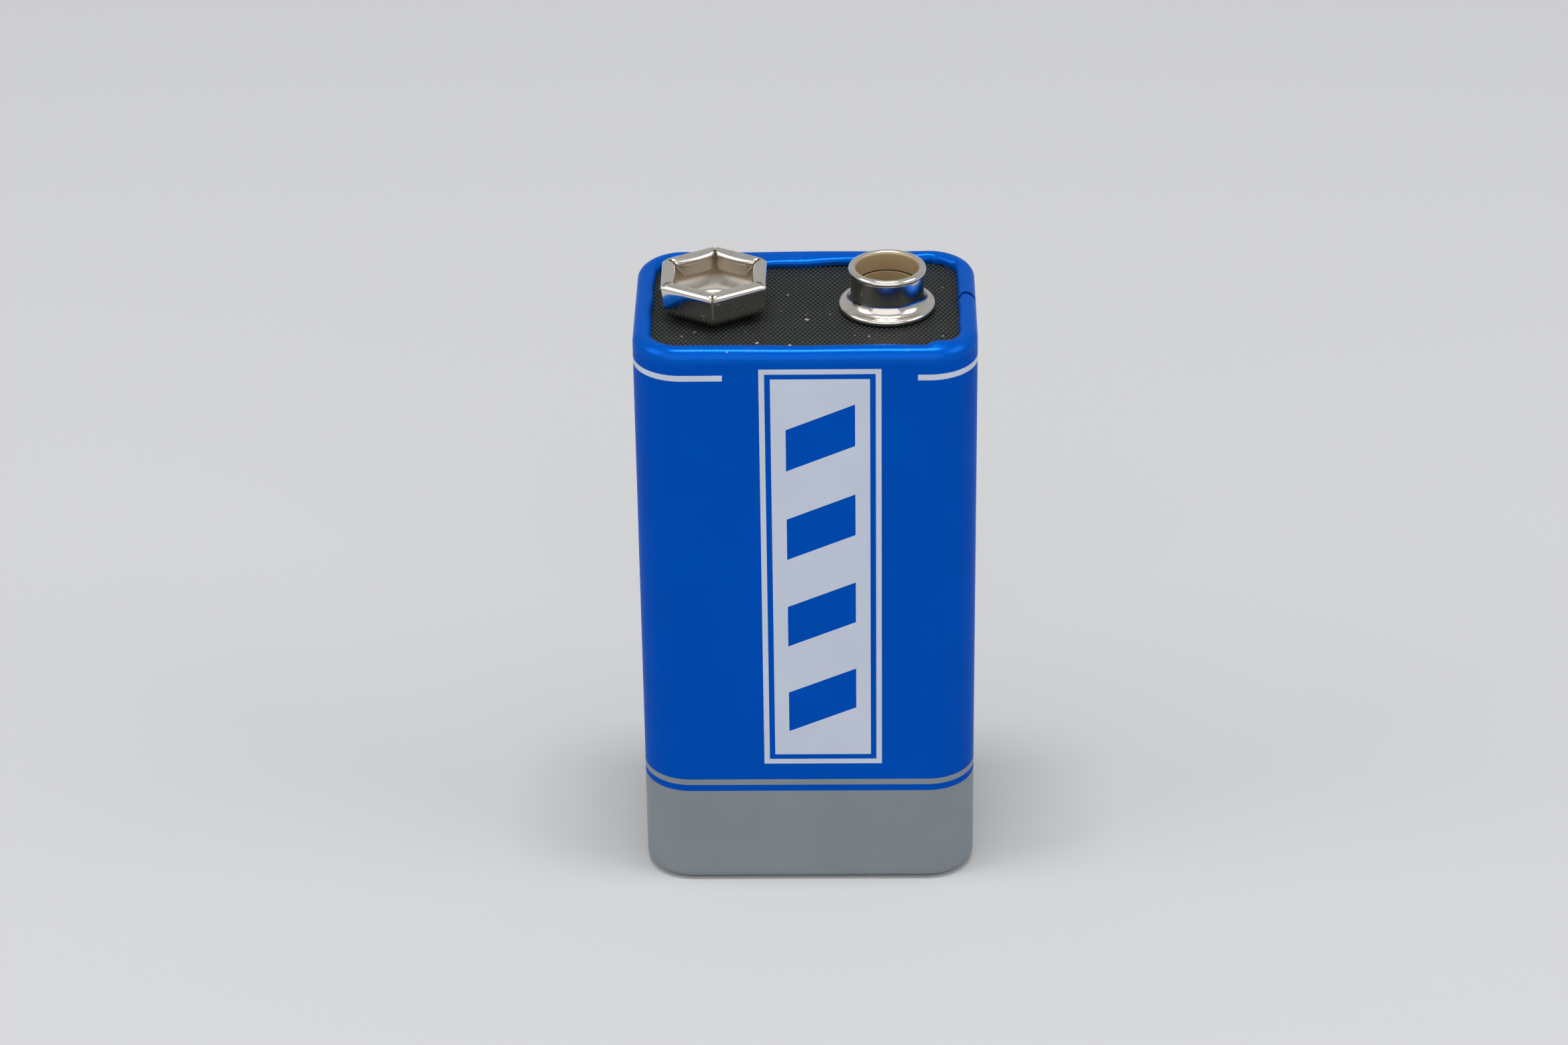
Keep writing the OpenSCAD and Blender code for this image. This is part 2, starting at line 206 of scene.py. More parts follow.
def closed_grid(name: str, grid: Array, wrap_cols: bool, sharp: float) -> Object:
    """Piece from a grid whose rows run round a section and whose columns run along it.

    Args:
        name: Name of the piece.
        grid: Points of shape (around the section, along the path, 3), in mm.
        wrap_cols: Whether the path closes on itself; otherwise both ends get a cap.
        sharp: Angle in degrees past which an edge is sharp.

    Returns:
        The new object.
    """
    rows, cols = grid.shape[:2]
    faces = quads(rows, cols, True, wrap_cols).tolist()
    if not wrap_cols:
        first = np.arange(rows) * cols
        faces.append(first.tolist())
        faces.append((first + cols - 1)[::-1].tolist())
    return make_mesh(name, grid.reshape(-1, 3), faces, sharp)


def sheets(name: str, pairs: list[Grids], sharp: float = 50.0) -> Object:
    """One piece of closed sheets, each between two open grids and joined round their edges.

    Args:
        name: Name of the piece.
        pairs: Outer and inner points of each sheet, of one shape (rows, cols, 3), in mm.
        sharp: Angle in degrees past which an edge is sharp.

    Returns:
        The new object.
    """
    points, faces, start = [], [], 0
    for outer, inner in pairs:
        rows, cols = outer.shape[:2]
        count = rows * cols
        front = quads(rows, cols)
        rim = edge_loop(rows, cols)
        ahead = np.roll(rim, -1)
        wall = np.stack([ahead, rim, rim + count, ahead + count], axis=1)
        faces.append(np.concatenate([front, front[:, ::-1] + count, wall]) + start)
        points += [outer.reshape(-1, 3), inner.reshape(-1, 3)]
        start += 2 * count
    return make_mesh(name, np.concatenate(points), np.concatenate(faces).tolist(), sharp)


def revolve(name: str, profile: Array, cx: float, turns: int, sharp: float = 50.0) -> Object:
    """Piece turned about an upright axis: each profile point circles it at its own radius and height.

    Args:
        name: Name of the piece.
        profile: Closed outline, radius and height in mm; its points on the axis are merged.
        cx: Place of the axis along X, in mm.
        turns: Number of steps round the axis.
        sharp: Angle in degrees past which an edge is sharp.

    Returns:
        The new object.
    """
    angle = np.linspace(0.0, 2.0 * np.pi, turns, endpoint=False)
    radius = profile[:, 0][:, None]
    height = np.repeat(profile[:, 1][:, None], turns, axis=1)
    grid = np.stack([cx + radius * np.cos(angle), radius * np.sin(angle), height], axis=2)
    piece = closed_grid(name, grid, True, sharp)
    work = bmesh.new()
    work.from_mesh(piece.data)
    bmesh.ops.remove_doubles(work, verts=work.verts, dist=MERGE_M)
    bmesh.ops.recalc_face_normals(work, faces=work.faces)
    work.to_mesh(piece.data)
    work.free()
    return piece


def set_attribute(piece: Object, name: str, values: Array) -> None:
    """Store one number for each point of a mesh."""
    layer = piece.data.attributes.new(name, "FLOAT", "POINT")
    layer.data.foreach_set("value", np.broadcast_to(values, len(layer.data)).astype(np.float32))


# Shader tools


class Tree:
    """Short way to add and link nodes in a material or a node group."""

    def __init__(self, tree: NodeTree) -> None:
        """Keep the tree that nodes go into."""
        self.tree = tree

    def put(self, socket: NodeSocket, value: object) -> None:
        """Link an output to a socket, or set the socket's own value."""
        if isinstance(value, NodeSocket):
            self.tree.links.new(value, socket)
        else:
            socket.default_value = value

    def fill(self, node: Node, **values: object) -> None:
        """Set or link inputs of a node."""
        for name, value in values.items():
            self.put(node.inputs[name.replace("_", " ")], value)

    def add(self, kind: str, **values: object) -> Node:
        """Add a node, set its properties, and set or link its inputs.

        Args:
            kind: Node type, without the ShaderNode prefix.
            values: Properties in lower case, or inputs by name with spaces as underscores.

        Returns:
            The new node.
        """
        node = self.tree.nodes.new("ShaderNode" + kind)
        for name, value in values.items():
            if name.islower():
                setattr(node, name, value)
            else:
                self.fill(node, **{name: value})
        return node

    def in_order(self, kind: str, *items: object, **values: object) -> NodeSocket:
        """Add a node and fill its inputs in order.

        Args:
            kind: Node type, without the ShaderNode prefix.
            items: Inputs in order, as numbers or outputs.
            values: Properties by name.

        Returns:
            The node's first output.
        """
        node = self.add(kind, **values)
        for socket, item in zip(node.inputs, items):
            self.put(socket, item)
        return node.outputs[0]

    def calc(self, operation: str, *items: object) -> NodeSocket:
        """Result of a Math node."""
        return self.in_order("Math", *items, operation=operation)

    def ramp(self, value: object, low: float, high: float, out_low: object = 0.0,
             out_high: object = 1.0) -> NodeSocket:
        """Value mapped from low and high to out_low and out_high, and held between them."""
        return self.in_order("MapRange", value, low, high, out_low, out_high, clamp=True)

    def either(self, a: object, share_a: float, b: object, share_b: float) -> NodeSocket:
        """Larger of two masks, each times its own share."""
        return self.calc("MAXIMUM", self.calc("MULTIPLY", a, share_a), self.calc("MULTIPLY", b, share_b))

    def mix(self, factor: object, a: object, b: object) -> NodeSocket:
        """Colour between two colours.

        Args:
            factor: 0 for the first colour, 1 for the second.
            a, b: First and second colour.

        Returns:
            The mixed colour.
        """
        node = self.add("Mix", data_type="RGBA")
        for index, item in ((0, factor), (6, a), (7, b)):
            self.put(node.inputs[index], item)
        return node.outputs[2]

    def noise(self, place: NodeSocket, scale: object, detail: float, roughness: float = 0.5) -> NodeSocket:
        """Noise texture."""
        return self.add("TexNoise", Vector=place, Scale=scale, Detail=detail,
                        Roughness=roughness).outputs[0]

    def attribute(self, name: str) -> NodeSocket:
        """Value of a mesh attribute."""
        return self.add("Attribute", attribute_name=name).outputs["Fac"]

    def group(self, group: NodeTree, place: NodeSocket, **values: object) -> NodeSocket:
        """Place a node group and fill its inputs.

        Args:
            group: The group's tree.
            place: Position in mm.
            values: Other inputs by name.

        Returns:
            The group's output.
        """
        node = self.add("Group", node_tree=group)
        self.fill(node, Position=place, **values)
        return node.outputs[0]


def new_group(name: str, output: str, **inputs: float) -> tuple[Tree, dict[str, NodeSocket], NodeSocket]:
    """Empty shader node group with a position in mm, named numbers and one output.

    Args:
        name: Name of the group.
        output: Name of the output.
        inputs: Other inputs by name, with their starting values.

    Returns:
        The tree, what it is given by name, and the socket of its output.
    """
    group = bpy.data.node_groups.new(name, "ShaderNodeTree")
    group.interface.new_socket("Position", in_out="INPUT", socket_type="NodeSocketVector")
    for key, value in inputs.items():
        socket = group.interface.new_socket(key, in_out="INPUT", socket_type="NodeSocketFloat")
        socket.default_value = value
    group.interface.new_socket(output, in_out="OUTPUT", socket_type="NodeSocketFloat")
    entry = group.nodes.new("NodeGroupInput")
    leave = group.nodes.new("NodeGroupOutput")
    return Tree(group), {s.name: s for s in entry.outputs}, leave.inputs[0]


@cache
def specks_group() -> NodeTree:
    """Scattered specks: a mask that is 1 near the point of a Voronoi cell, in a random part of the cells.

    Returns:
        The node group, with inputs Spacing, Size and Share and output Mask.
    """
    tree, given, out = new_group("Specks", "Mask", Spacing=1.0, Size=0.1, Share=0.3)
    cells = tree.add("TexVoronoi", Vector=given["Position"], Scale=tree.calc("DIVIDE", 1.0, given["Spacing"]))
    colour = tree.add("SeparateColor", Color=cells.outputs["Color"])
    reach = tree.calc("DIVIDE", given["Size"], given["Spacing"])
    grown = tree.calc("MULTIPLY", reach, tree.calc("ADD", 0.4, colour.outputs["Green"]))
    near = tree.ramp(cells.outputs["Distance"], grown, tree.calc("MULTIPLY", grown, 0.6))
    chosen = tree.calc("LESS_THAN", colour.outputs["Red"], given["Share"])
    tree.put(out, tree.calc("MULTIPLY", near, chosen))
    return tree.tree


@cache
def scratches_group() -> NodeTree:
    """Short thin scratches: a narrow band of a stretched noise, kept where a wide noise is high.

    Returns:
        The node group, with inputs Length, Width and Share and output Mask.
    """
    tree, given, out = new_group("Scratches", "Mask", Length=6.0, Width=0.2, Share=0.4)
    along = tree.calc("DIVIDE", 1.0, given["Length"])
    across = tree.calc("DIVIDE", 1.0, given["Width"])
    scale = tree.in_order("CombineXYZ", across, across, along)
    turned = tree.add("VectorRotate", rotation_type="EULER_XYZ", Vector=given["Position"],
                      Rotation=(0.35, 0.5, 0.2)).outputs[0]
    placed = tree.in_order("VectorMath", turned, scale, operation="MULTIPLY")
    middle = tree.calc("SUBTRACT", tree.noise(placed, 1.0, 2.0), 0.5)
    thin = tree.ramp(tree.calc("ABSOLUTE", middle), 0.006, 0.001)
    limit = tree.calc("SUBTRACT", 1.0, given["Share"])
    some = tree.ramp(tree.noise(given["Position"], 0.35, 1.0), limit, tree.calc("ADD", limit, 0.05))
    tree.put(out, tree.calc("MULTIPLY", thin, some))
    return tree.tree


@cache
def grain_group() -> NodeTree:
    """Fine even grain: noise at the given grain size, with finer layers.

    Returns:
        The node group, with input Grain and output Height.
    """
    tree, given, out = new_group("Grain", "Height", Grain=0.2)
    tree.put(out, tree.noise(given["Position"], tree.calc("DIVIDE", 1.0, given["Grain"]), 3.0, 0.6))
    return tree.tree


def srgb(*screen: float) -> Colour:
    """Linear colour from screen values of 0 to 255: the power 2.4 curve with its linear foot.

    Args:
        screen: Red, green and blue.

    Returns:
        Linear red, green, blue and an alpha of 1.
    """
    share = np.array(screen) / 255.0
    linear = np.where(share <= 0.04045, share / 12.92, ((share + 0.055) / 1.055) ** 2.4)
    return (*(float(v) for v in linear), 1.0)


def shaded(colour: Colour, factor: float) -> Colour:
    """Colour times a factor, at most 1 in each channel."""
    return (*(min(1.0, c * factor) for c in colour[:3]), 1.0)


@dataclass(frozen=True, kw_only=True)
class Finish:
    """What every finish has: a name, a colour, a grain and a roughness that follows the grain."""

    name: str
    colour: Colour
    roughness: float = 0.6
    grain: float = 0.3
    relief: float = 0.08
    relief_mm: float = 0.02

    def build(self) -> Material:
        """Make the material: a Principled shader that takes the object's own coordinates in mm.

        Returns:
            The new material.
        """
        material = bpy.data.materials.new(self.name)
        material.use_nodes = True
        tree = Tree(material.node_tree)
        shader = material.node_tree.nodes["Principled BSDF"]
        coords = tree.add("TexCoord").outputs["Object"]
        place = tree.add("Mapping", Vector=coords, Scale=(1.0 / MM,) * 3).outputs[0]
        height = self.paint(tree, shader, place, tree.group(grain_group(), place, Grain=self.grain))
        normal = tree.add("Bump", Strength=self.relief, Distance=self.relief_mm * MM, Height=height)
        tree.fill(shader, Normal=normal.outputs[0])
        return material

    def paint(self, tree: Tree, shader: Node, place: NodeSocket, grain: NodeSocket) -> NodeSocket:
        """Fill the shader's inputs.

        Args:
            tree: Tree of the material.
            shader: Its Principled shader.
            place: Position in mm.
            grain: Height of the grain, from 0 to 1.

        Returns:
            Height of the relief.
        """
        raise NotImplementedError

    def rough(self, tree: Tree, value: NodeSocket, less: float, more: float) -> NodeSocket:
        """Roughness that follows a noise."""
        return tree.ramp(value, 0.3, 0.7, self.roughness - less, self.roughness + more)


@dataclass(frozen=True, kw_only=True)
class InkFinish(Finish):
    """Litho ink on steel, with faint mottling, dust specks and hairline scratches.

    The attribute rolled marks the ink over the rim, which gets a lighter blue there as a painted highlight,
    and inside marks the sheet's inner face, which gets a near black colour as painted shade.
    """

    grain: float = 0.22
    deep: Colour
    specular: float = 0.1
    metallic: float = 0.0
    edge_tint: Colour = (1.0, 1.0, 1.0, 1.0)
    # Painted shade: near black for the sheet's inner face, which shows down the seam gap.
    inner: Colour = srgb(30, 30, 32)
    # Painted highlight: a lighter blue for the ink on the rolled rim, where the light falls more strongly.
    rim_highlight_colour: Colour = (0.0, 0.096, 0.52, 1.0)
    roll_gloss: float = 0.1
    roll_smoother: float = 0.07
    speck_colour: Colour = srgb(150, 170, 215)
    speck_share: float = 0.1
    speck_strength: float = 0.55
    scratch_share: float = 0.32
    scratch_strength: float = 0.16

    def paint(self, tree: Tree, shader: Node, place: NodeSocket, grain: NodeSocket) -> NodeSocket:
        """Ink whose colour drifts between two tones, under specks and scratches, with a painted highlight of
        lighter blue on the rim and painted shade of near black on the inner face.

        Args:
            tree: Tree of the material.
            shader: Its Principled shader.
            place: Position in mm.
            grain: Height of the grain, from 0 to 1.

        Returns:
            Height of the relief.
        """
        cloud = tree.ramp(tree.noise(place, 0.16, 2.0), 0.35, 0.65)
        specks = tree.group(specks_group(), place, Spacing=1.9, Size=0.09, Share=self.speck_share)
        marks = tree.group(scratches_group(), place, Length=5.0, Width=0.5, Share=self.scratch_share)
        worn = tree.either(specks, self.speck_strength, marks, self.scratch_strength)
        inside = tree.attribute("inside")
        rolled = tree.attribute("rolled")
        # Painted highlight: where the attribute rolled is high, the ink turns to the lighter rim blue.
        base = tree.mix(rolled, tree.mix(cloud, self.colour, self.deep), self.rim_highlight_colour)
        base = tree.mix(worn, base, self.speck_colour)
        gloss = tree.ramp(grain, 0.35, 0.6, 0.35 * self.roll_gloss, self.roll_gloss)
        smoother = tree.calc("MULTIPLY", rolled, self.roll_smoother)
        # Painted shade: the inner face takes the near black inner colour.
        tree.fill(shader, Base_Color=tree.mix(inside, base, self.inner), Metallic=self.metallic,
                  Roughness=tree.calc("SUBTRACT", self.rough(tree, grain, 0.05, 0.06), smoother),
                  Coat_Weight=tree.calc("MULTIPLY", rolled, gloss), Coat_Roughness=0.16,
                  Specular_IOR_Level=self.specular, Specular_Tint=self.edge_tint)
        return grain


@dataclass(frozen=True, kw_only=True)
class MetalFinish(Finish):
    """Plated sheet metal with wear and pits.

    The attribute tarnish dulls and browns it, and satin only softens its shine.
    """

    tarnish: Colour
    roughness: float = 0.1
    dull_roughness: float = 0.55
    satin_roughness: float = 0.5
    tarnish_low: float = 0.5
    tarnish_high: float = 0.75
    pit_share: float = 0.2

    def paint(self, tree: Tree, shader: Node, place: NodeSocket, grain: NodeSocket) -> NodeSocket:
        """Metal that patches, pits and the attribute tarnish brown; roughness rises with each.

        Args:
            tree: Tree of the material.
            shader: Its Principled shader.
            place: Position in mm.
            grain: Height of the grain, from 0 to 1.

        Returns:
            Height of the relief.
        """
        patches = tree.noise(place, 0.9, 4.0, 0.65)
        dull = tree.ramp(patches, self.tarnish_low, self.tarnish_high)
        pits = tree.group(specks_group(), place, Spacing=0.55, Size=0.07, Share=self.pit_share)
        marks = tree.group(scratches_group(), place, Length=2.0, Width=0.35, Share=0.5)
        worn = tree.attribute("tarnish")
        satin = tree.attribute("satin")
        stained = tree.calc("MAXIMUM", tree.either(dull, 0.5, pits, 0.6), worn)
        rough = tree.calc("ADD", self.rough(tree, patches, 0.0, 0.06), tree.calc("MULTIPLY", marks, 0.12))
        rough = tree.ramp(worn, 0.0, 1.0, rough, self.dull_roughness)
        rough = tree.ramp(satin, 0.0, 1.0, rough, self.satin_roughness)
        tree.fill(shader, Base_Color=tree.mix(stained, self.colour, self.tarnish), Roughness=rough,
                  Metallic=tree.ramp(tree.calc("MAXIMUM", worn, satin), 0.3, 1.0, 1.0, 0.15))
        return tree.calc("SUBTRACT", grain, pits)


@dataclass(frozen=True, kw_only=True)
class BoardFinish(Finish):
    """Black fibreboard with bright dust on it; an attribute marks the crests of its weave, which get a
    painted highlight.
    """

    dust: Colour
    # Painted highlight: the lighter colour of the weave's crests, where light catches the bumps.
    crest_highlight: Colour
    grain: float = 0.12
    relief: float = 0.35
    relief_mm: float = 0.03
    roughness: float = 0.45
    fine_dust: float = 0.45
    large_dust: float = 0.8

    def paint(self, tree: Tree, shader: Node, place: NodeSocket, grain: NodeSocket) -> NodeSocket:
        """Dark fibre, lighter in clouds and with a painted highlight on the weave's crests, under a mask of
        fine and large dust.

        Args:
            tree: Tree of the material.
            shader: Its Principled shader.
            place: Position in mm.
            grain: Height of the grain, from 0 to 1.

        Returns:
            Height of the relief.
        """
        clouds = tree.ramp(tree.noise(place, 0.5, 3.0), 0.35, 0.7)
        base = tree.mix(clouds, self.colour, shaded(self.colour, 1.5))
        # Painted highlight on the weave's crests, stronger where the grain is high.
        crest_highlight_mask = tree.calc("MULTIPLY", tree.attribute("crest_highlight"), tree.ramp(grain, 0.3, 0.6, 0.5, 1.0))
        fine = tree.group(specks_group(), place, Spacing=0.9, Size=0.1, Share=0.3)
        large = tree.group(specks_group(), place, Spacing=1.8, Size=0.18, Share=0.4)
        dusty = tree.either(fine, self.fine_dust, large, self.large_dust)
        tree.fill(shader, Base_Color=tree.mix(dusty, tree.mix(crest_highlight_mask, base, self.crest_highlight), self.dust),
                  Roughness=self.rough(tree, grain, 0.08, 0.1), Specular_IOR_Level=0.12)
        return grain


@dataclass(frozen=True, kw_only=True)
class PlainFinish(Finish):
    """Finish of an inner piece: one colour with a fine grain, metallic or not."""

    relief: float = 0.3
    relief_mm: float = 0.03
    metallic: float = 0.0

    def paint(self, tree: Tree, shader: Node, place: NodeSocket, grain: NodeSocket) -> NodeSocket:
        """One colour, a quarter darker where the grain is low.

        Args:
            tree: Tree of the material.
            shader: Its Principled shader.
            place: Position in mm; not used.
            grain: Height of the grain, from 0 to 1.

        Returns:
            Height of the relief.
        """
        tree.fill(shader, Base_Color=tree.mix(grain, shaded(self.colour, 0.75), self.colour),
                  Roughness=self.rough(tree, grain, 0.05, 0.05), Metallic=self.metallic)
        return grain


BLUE_INK = InkFinish(name="blue_litho_ink", colour=(0.0, 0.08, 0.49, 1.0), deep=(0.0, 0.075, 0.46, 1.0),
                     roughness=0.36, specular=0.03, metallic=0.4, edge_tint=(0.35, 0.6, 1.0, 1.0))
GREY_INK = InkFinish(name="grey_litho_ink", colour=srgb(131, 139, 144), deep=srgb(127, 135, 141),
                     roughness=0.35, speck_colour=srgb(70, 75, 80), speck_share=0.16)
WHITE_INK = InkFinish(name="white_litho_ink", colour=srgb(197, 204, 219), deep=srgb(193, 200, 216),
                      roughness=0.25, speck_colour=srgb(120, 135, 165), speck_share=0.12)
NICKEL = MetalFinish(name="nickel_plate", colour=srgb(218, 212, 203), tarnish=srgb(168, 146, 112),
                     tarnish_low=0.55, tarnish_high=0.85)
DULL_BRASS = MetalFinish(name="dull_brass", colour=srgb(168, 154, 124), tarnish=srgb(172, 152, 116),
                         roughness=0.5, tarnish_low=0.4, tarnish_high=0.7)
# The third colour is a painted highlight for the weave's crests.
BLACK_BOARD = BoardFinish(name="black_fibreboard", colour=srgb(20, 22, 21), dust=srgb(200, 196, 186),
                          crest_highlight=srgb(100, 106, 102))
INNER_FINISHES = {
    "tinned_steel": PlainFinish(name="tinned_strip", colour=srgb(190, 190, 190), roughness=0.35,
                                metallic=1.0),
    "carbon_coat": PlainFinish(name="carbon_coating", colour=srgb(38, 38, 40), roughness=0.8),
    "card": PlainFinish(name="kraft_card", colour=srgb(178, 148, 108), roughness=0.85, grain=0.5),
    "clear_film": PlainFinish(name="cell_film", colour=srgb(206, 210, 208), roughness=0.3),
    "black_plastic": PlainFinish(name="black_moulding", colour=srgb(40, 41, 42), roughness=0.5),
    "zinc": PlainFinish(name="zinc_sheet", colour=srgb(150, 154, 158), roughness=0.5, metallic=1.0),
    "separator_paper": PlainFinish(name="separator_paper", colour=srgb(214, 206, 182), roughness=0.9),
    "cathode_mix": PlainFinish(name="cathode_mix", colour=srgb(30, 30, 31), roughness=0.95, grain=0.15),
}


# Jacket and print


@dataclass(frozen=True)
class Dents:
    """Where the real jacket departs from its drawing, and by how much, in mm."""

    lip_depth: float = 2.0
    lip_out: float = 0.06
    lip_up: float = 0.05
    rim_low: float = 1.1
    rim_high: float = 0.35
    rim_up: float = 0.03
    bow_least: float = 0.08
    bow_more: float = 0.64
    bow_at: float = 3.5
    bow_width: float = 6.6
    rim_bow: float = 0.08
    bulge: float = 0.18
    bulge_width: float = 0.5
    kink_start: float = 8.8
    kink_full: float = 9.1
    kink_at: float = 9.9
    kink_width: float = 1.5
    kink_in: float = 0.3
    kink_up: float = 0.17
    pinch_width: float = 0.28
    pinch_in: float = 0.1
    pinch_down: float = 0.09
    crease_half: float = 8.6
    crease_top: float = 1.2
    crease_sag: float = 1.15
    crease_in: float = 0.035
    above_out: float = 0.02
    seam_slant: float = 0.6
    seam_spread: float = 0.12
    pinches: tuple[tuple[int, float], ...] = ((1, 0.25), (1, 0.8), (3, 0.3), (3, 0.75), (5, 0.2), (5, 0.55),
                                              (5, 0.85), (7, 0.3), (7, 0.7))


@dataclass
class Jacket:
    """Printed steel jacket: a rounded rectangle of sheet with a side seam, rolled in at the top.

    A run is a distance round it in mm, from the seam by the back and the front to the seam again.
    """

    half_w: float
    half_d: float
    height: float
    band_top: float
    pin: tuple[float, float]
    top_line: tuple[float, float]
    frame_x: float
    frame_z: float
    frame_w: float
    frame_h: float
    corner: float = 3.6
    sheet: float = 0.25
    roll: float = 0.85
    lip: float = 0.5
    drop: float = 0.7
    fold: float = 0.85
    base_lip: float = 0.9
    fine_rows: float = 3.2
    rolled_low: float = 1.3
    rolled_high: float = 0.6
    seam_y: float = 0.8
    seam_gap: float = 0.13
    ink: float = 0.012
    line_gap: float = 2.63
    frame_line: float = 0.41
    frame_gap: float = 0.42
    bars: int = 4
    bar_margin: float = 0.15
    bar_slant: float = 0.28
    bar_share: float = 0.46
    dent: Dents = Dents()

    @classmethod
    def from_frame(cls) -> "Jacket":
        """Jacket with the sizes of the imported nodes.

        Returns:
            The jacket.
        """
        _, top = box_mm("jacket")
        low, high = box_mm("white_frame")
        pin, top_line = (tuple(corner[2] for corner in box_mm(node))
                         for node in ("grey_pinstripe", "white_top_line"))
        return cls(half_w=top[0], half_d=top[1], height=top[2], band_top=box_mm("grey_band")[1][2],
                   pin=pin, top_line=top_line, frame_x=low[0], frame_z=low[2],
                   frame_w=high[0] - low[0], frame_h=high[2] - low[2])

    def __post_init__(self) -> None:
        """Work out the lengths of the straight sides and where each side and corner starts."""
        self.long = 2.0 * (self.half_w - self.corner)
        self.deep = 2.0 * (self.half_d - self.corner)
        self.turn = self.corner * math.pi / 2.0
        right_back = self.deep / 2.0 - self.seam_y - self.seam_gap / 2.0
        right_front = self.deep / 2.0 + self.seam_y - self.seam_gap / 2.0
        lengths = [right_back, self.turn, self.long, self.turn, self.deep, self.turn, self.long,
                   self.turn, right_front]
        self.starts = np.concatenate([[0.0], np.cumsum(lengths)])
        self.total = float(self.starts[-1])
        steps = [12, 22, 60, 22, 24, 22, 110, 22, 16]
        parts = [np.linspace(a, b, n, endpoint=False)
                 for a, b, n in zip(self.starts[:-1], self.starts[1:], steps)]
        self.stations = np.append(np.concatenate(parts), self.total)

    def front_run(self, x: float) -> float:
        """Run at which the front face has the given x."""
        return float(self.starts[6]) + x + self.long / 2.0

    def path(self, run: Array) -> tuple[Array, Array]:
        """Where the section stands round the jacket.

        Straight sides move along one axis; a corner turns about its centre by run over radius.

        Args:
            run: Runs.

        Returns:
            Centres that the section's radius counts from, and outward directions.
        """
        dx, dy = self.long / 2.0, self.deep / 2.0
        centre = np.zeros((len(run), 2))
        angle = np.zeros(len(run))
        s = self.starts
        places = [(dx, self.seam_y + self.seam_gap / 2.0), (dx, dy), (-dx, dy), (-dx, -dy), (dx, -dy)]
        ways = [(0.0, 1.0), (-1.0, 0.0), (0.0, -1.0), (1.0, 0.0), (0.0, 1.0)]
        for i, (place, way) in enumerate(zip(places, ways)):
            here = (run >= s[2 * i] - TINY) & (run <= s[2 * i + 1] + TINY)
            centre[here] = np.array(place) + (run[here] - s[2 * i])[:, None] * np.array(way)
            angle[here] = math.radians(90.0 * i)
        for i, place in enumerate(places[1:]):
            here = (run > s[2 * i + 1]) & (run < s[2 * i + 2])
            centre[here] = place
            angle[here] = math.radians(90.0 * i) + (run[here] - s[2 * i + 1]) / self.corner
        return centre, np.stack([np.cos(angle), np.sin(angle)], axis=1)

    def dents(self, run: Array, inset: Array, height: Array) -> tuple[Array, Array, Array]:
        """How far the real jacket departs from its drawing, by sums of bell curves, steps and sines.

        Args:
            run, height: Run and height of each point.
            inset: How far the point lies in from the jacket's side.

        Returns:
            Distance outwards, distance upwards and distance along the run.
        """
        d = self.dent
        top = self.height
        near_top = height > top - d.lip_depth
        lip = step(inset, self.roll, self.roll + self.lip) * near_top
        rim = step(height, top - d.rim_low, top - d.rim_high)
        out = lip * (d.lip_out * wave(run, (9.3, 5.1, 3.7), 0.4))
        up = lip * d.lip_up * wave(run, (7.7, 4.3), 1.1) + rim * d.rim_up * wave(run, (17.0, 11.0), 2.0)

        back = run - float(self.starts[2]) - self.long / 2.0
        along_back = step(self.long / 2.0 + 1.5 - np.abs(back), 0.0, 3.0)
        bow = d.bow_least + d.bow_more * bump(back, d.bow_at, d.bow_width)
        out = out - bow * lip * along_back - d.rim_bow * rim * along_back
        out = out + d.bulge * lip * bump(run, self.starts[1] + 0.3 * self.turn, d.bulge_width)

        front = run - self.front_run(0.0)
        kink = step(front, d.kink_start, d.kink_full) * bump(front, d.kink_at, d.kink_width)
        out = out - d.kink_in * lip * kink
        up = up + d.kink_up * bump(inset, 1.1, 0.35) * near_top * kink

        pinch = sum(bump(run, self.starts[corner] + share * self.turn, d.pinch_width)
                    for corner, share in d.pinches)
        out = out - lip * d.pinch_in * pinch
        up = up - lip * d.pinch_down * pinch

        sag = top - d.crease_top - d.crease_sag * (1.0 - (front / d.crease_half) ** 2)
        inside = step(d.crease_half - np.abs(front), 0.0, 2.0)
        crease = bump(height, sag, 0.35) * inside * (inset < 0.2)
        above = step(height, sag - 0.1, sag + 0.5) * inside * (inset < 0.6)
        out = out - d.crease_in * crease + d.above_out * above

        along = -d.seam_slant * lip * (bump(run, 0.0, 3.0) + bump(run, self.total, 3.0))
        along = along + d.seam_spread * rim * (bump(run, 0.0, 1.0) - bump(run, self.total, 1.0))
        return out, up, along

    def skin(self, run: Array, section: Array, proud: float = 0.0) -> Array:
        """Points of the skin: each section point along the outward direction, moved by the dents.

        Args:
            run: Runs.
            section: Section points: radius from the corner's centre, and height.
            proud: How far the points stand out of the skin.

        Returns:
            Points of shape (section, run, 3).
        """
        centre, normal = self.path(run)
        height = np.repeat(section[:, 1][:, None], len(run), axis=1)
        radius = section[:, 0][:, None]
        out, up, along = self.dents(run[None, :], self.corner - radius, height)
        total = radius + proud + out
        x = centre[:, 0] + total * normal[:, 0] - along * normal[:, 1]
        y = centre[:, 1] + total * normal[:, 1] + along * normal[:, 0]
        return np.stack([x, y, height + up], axis=2)

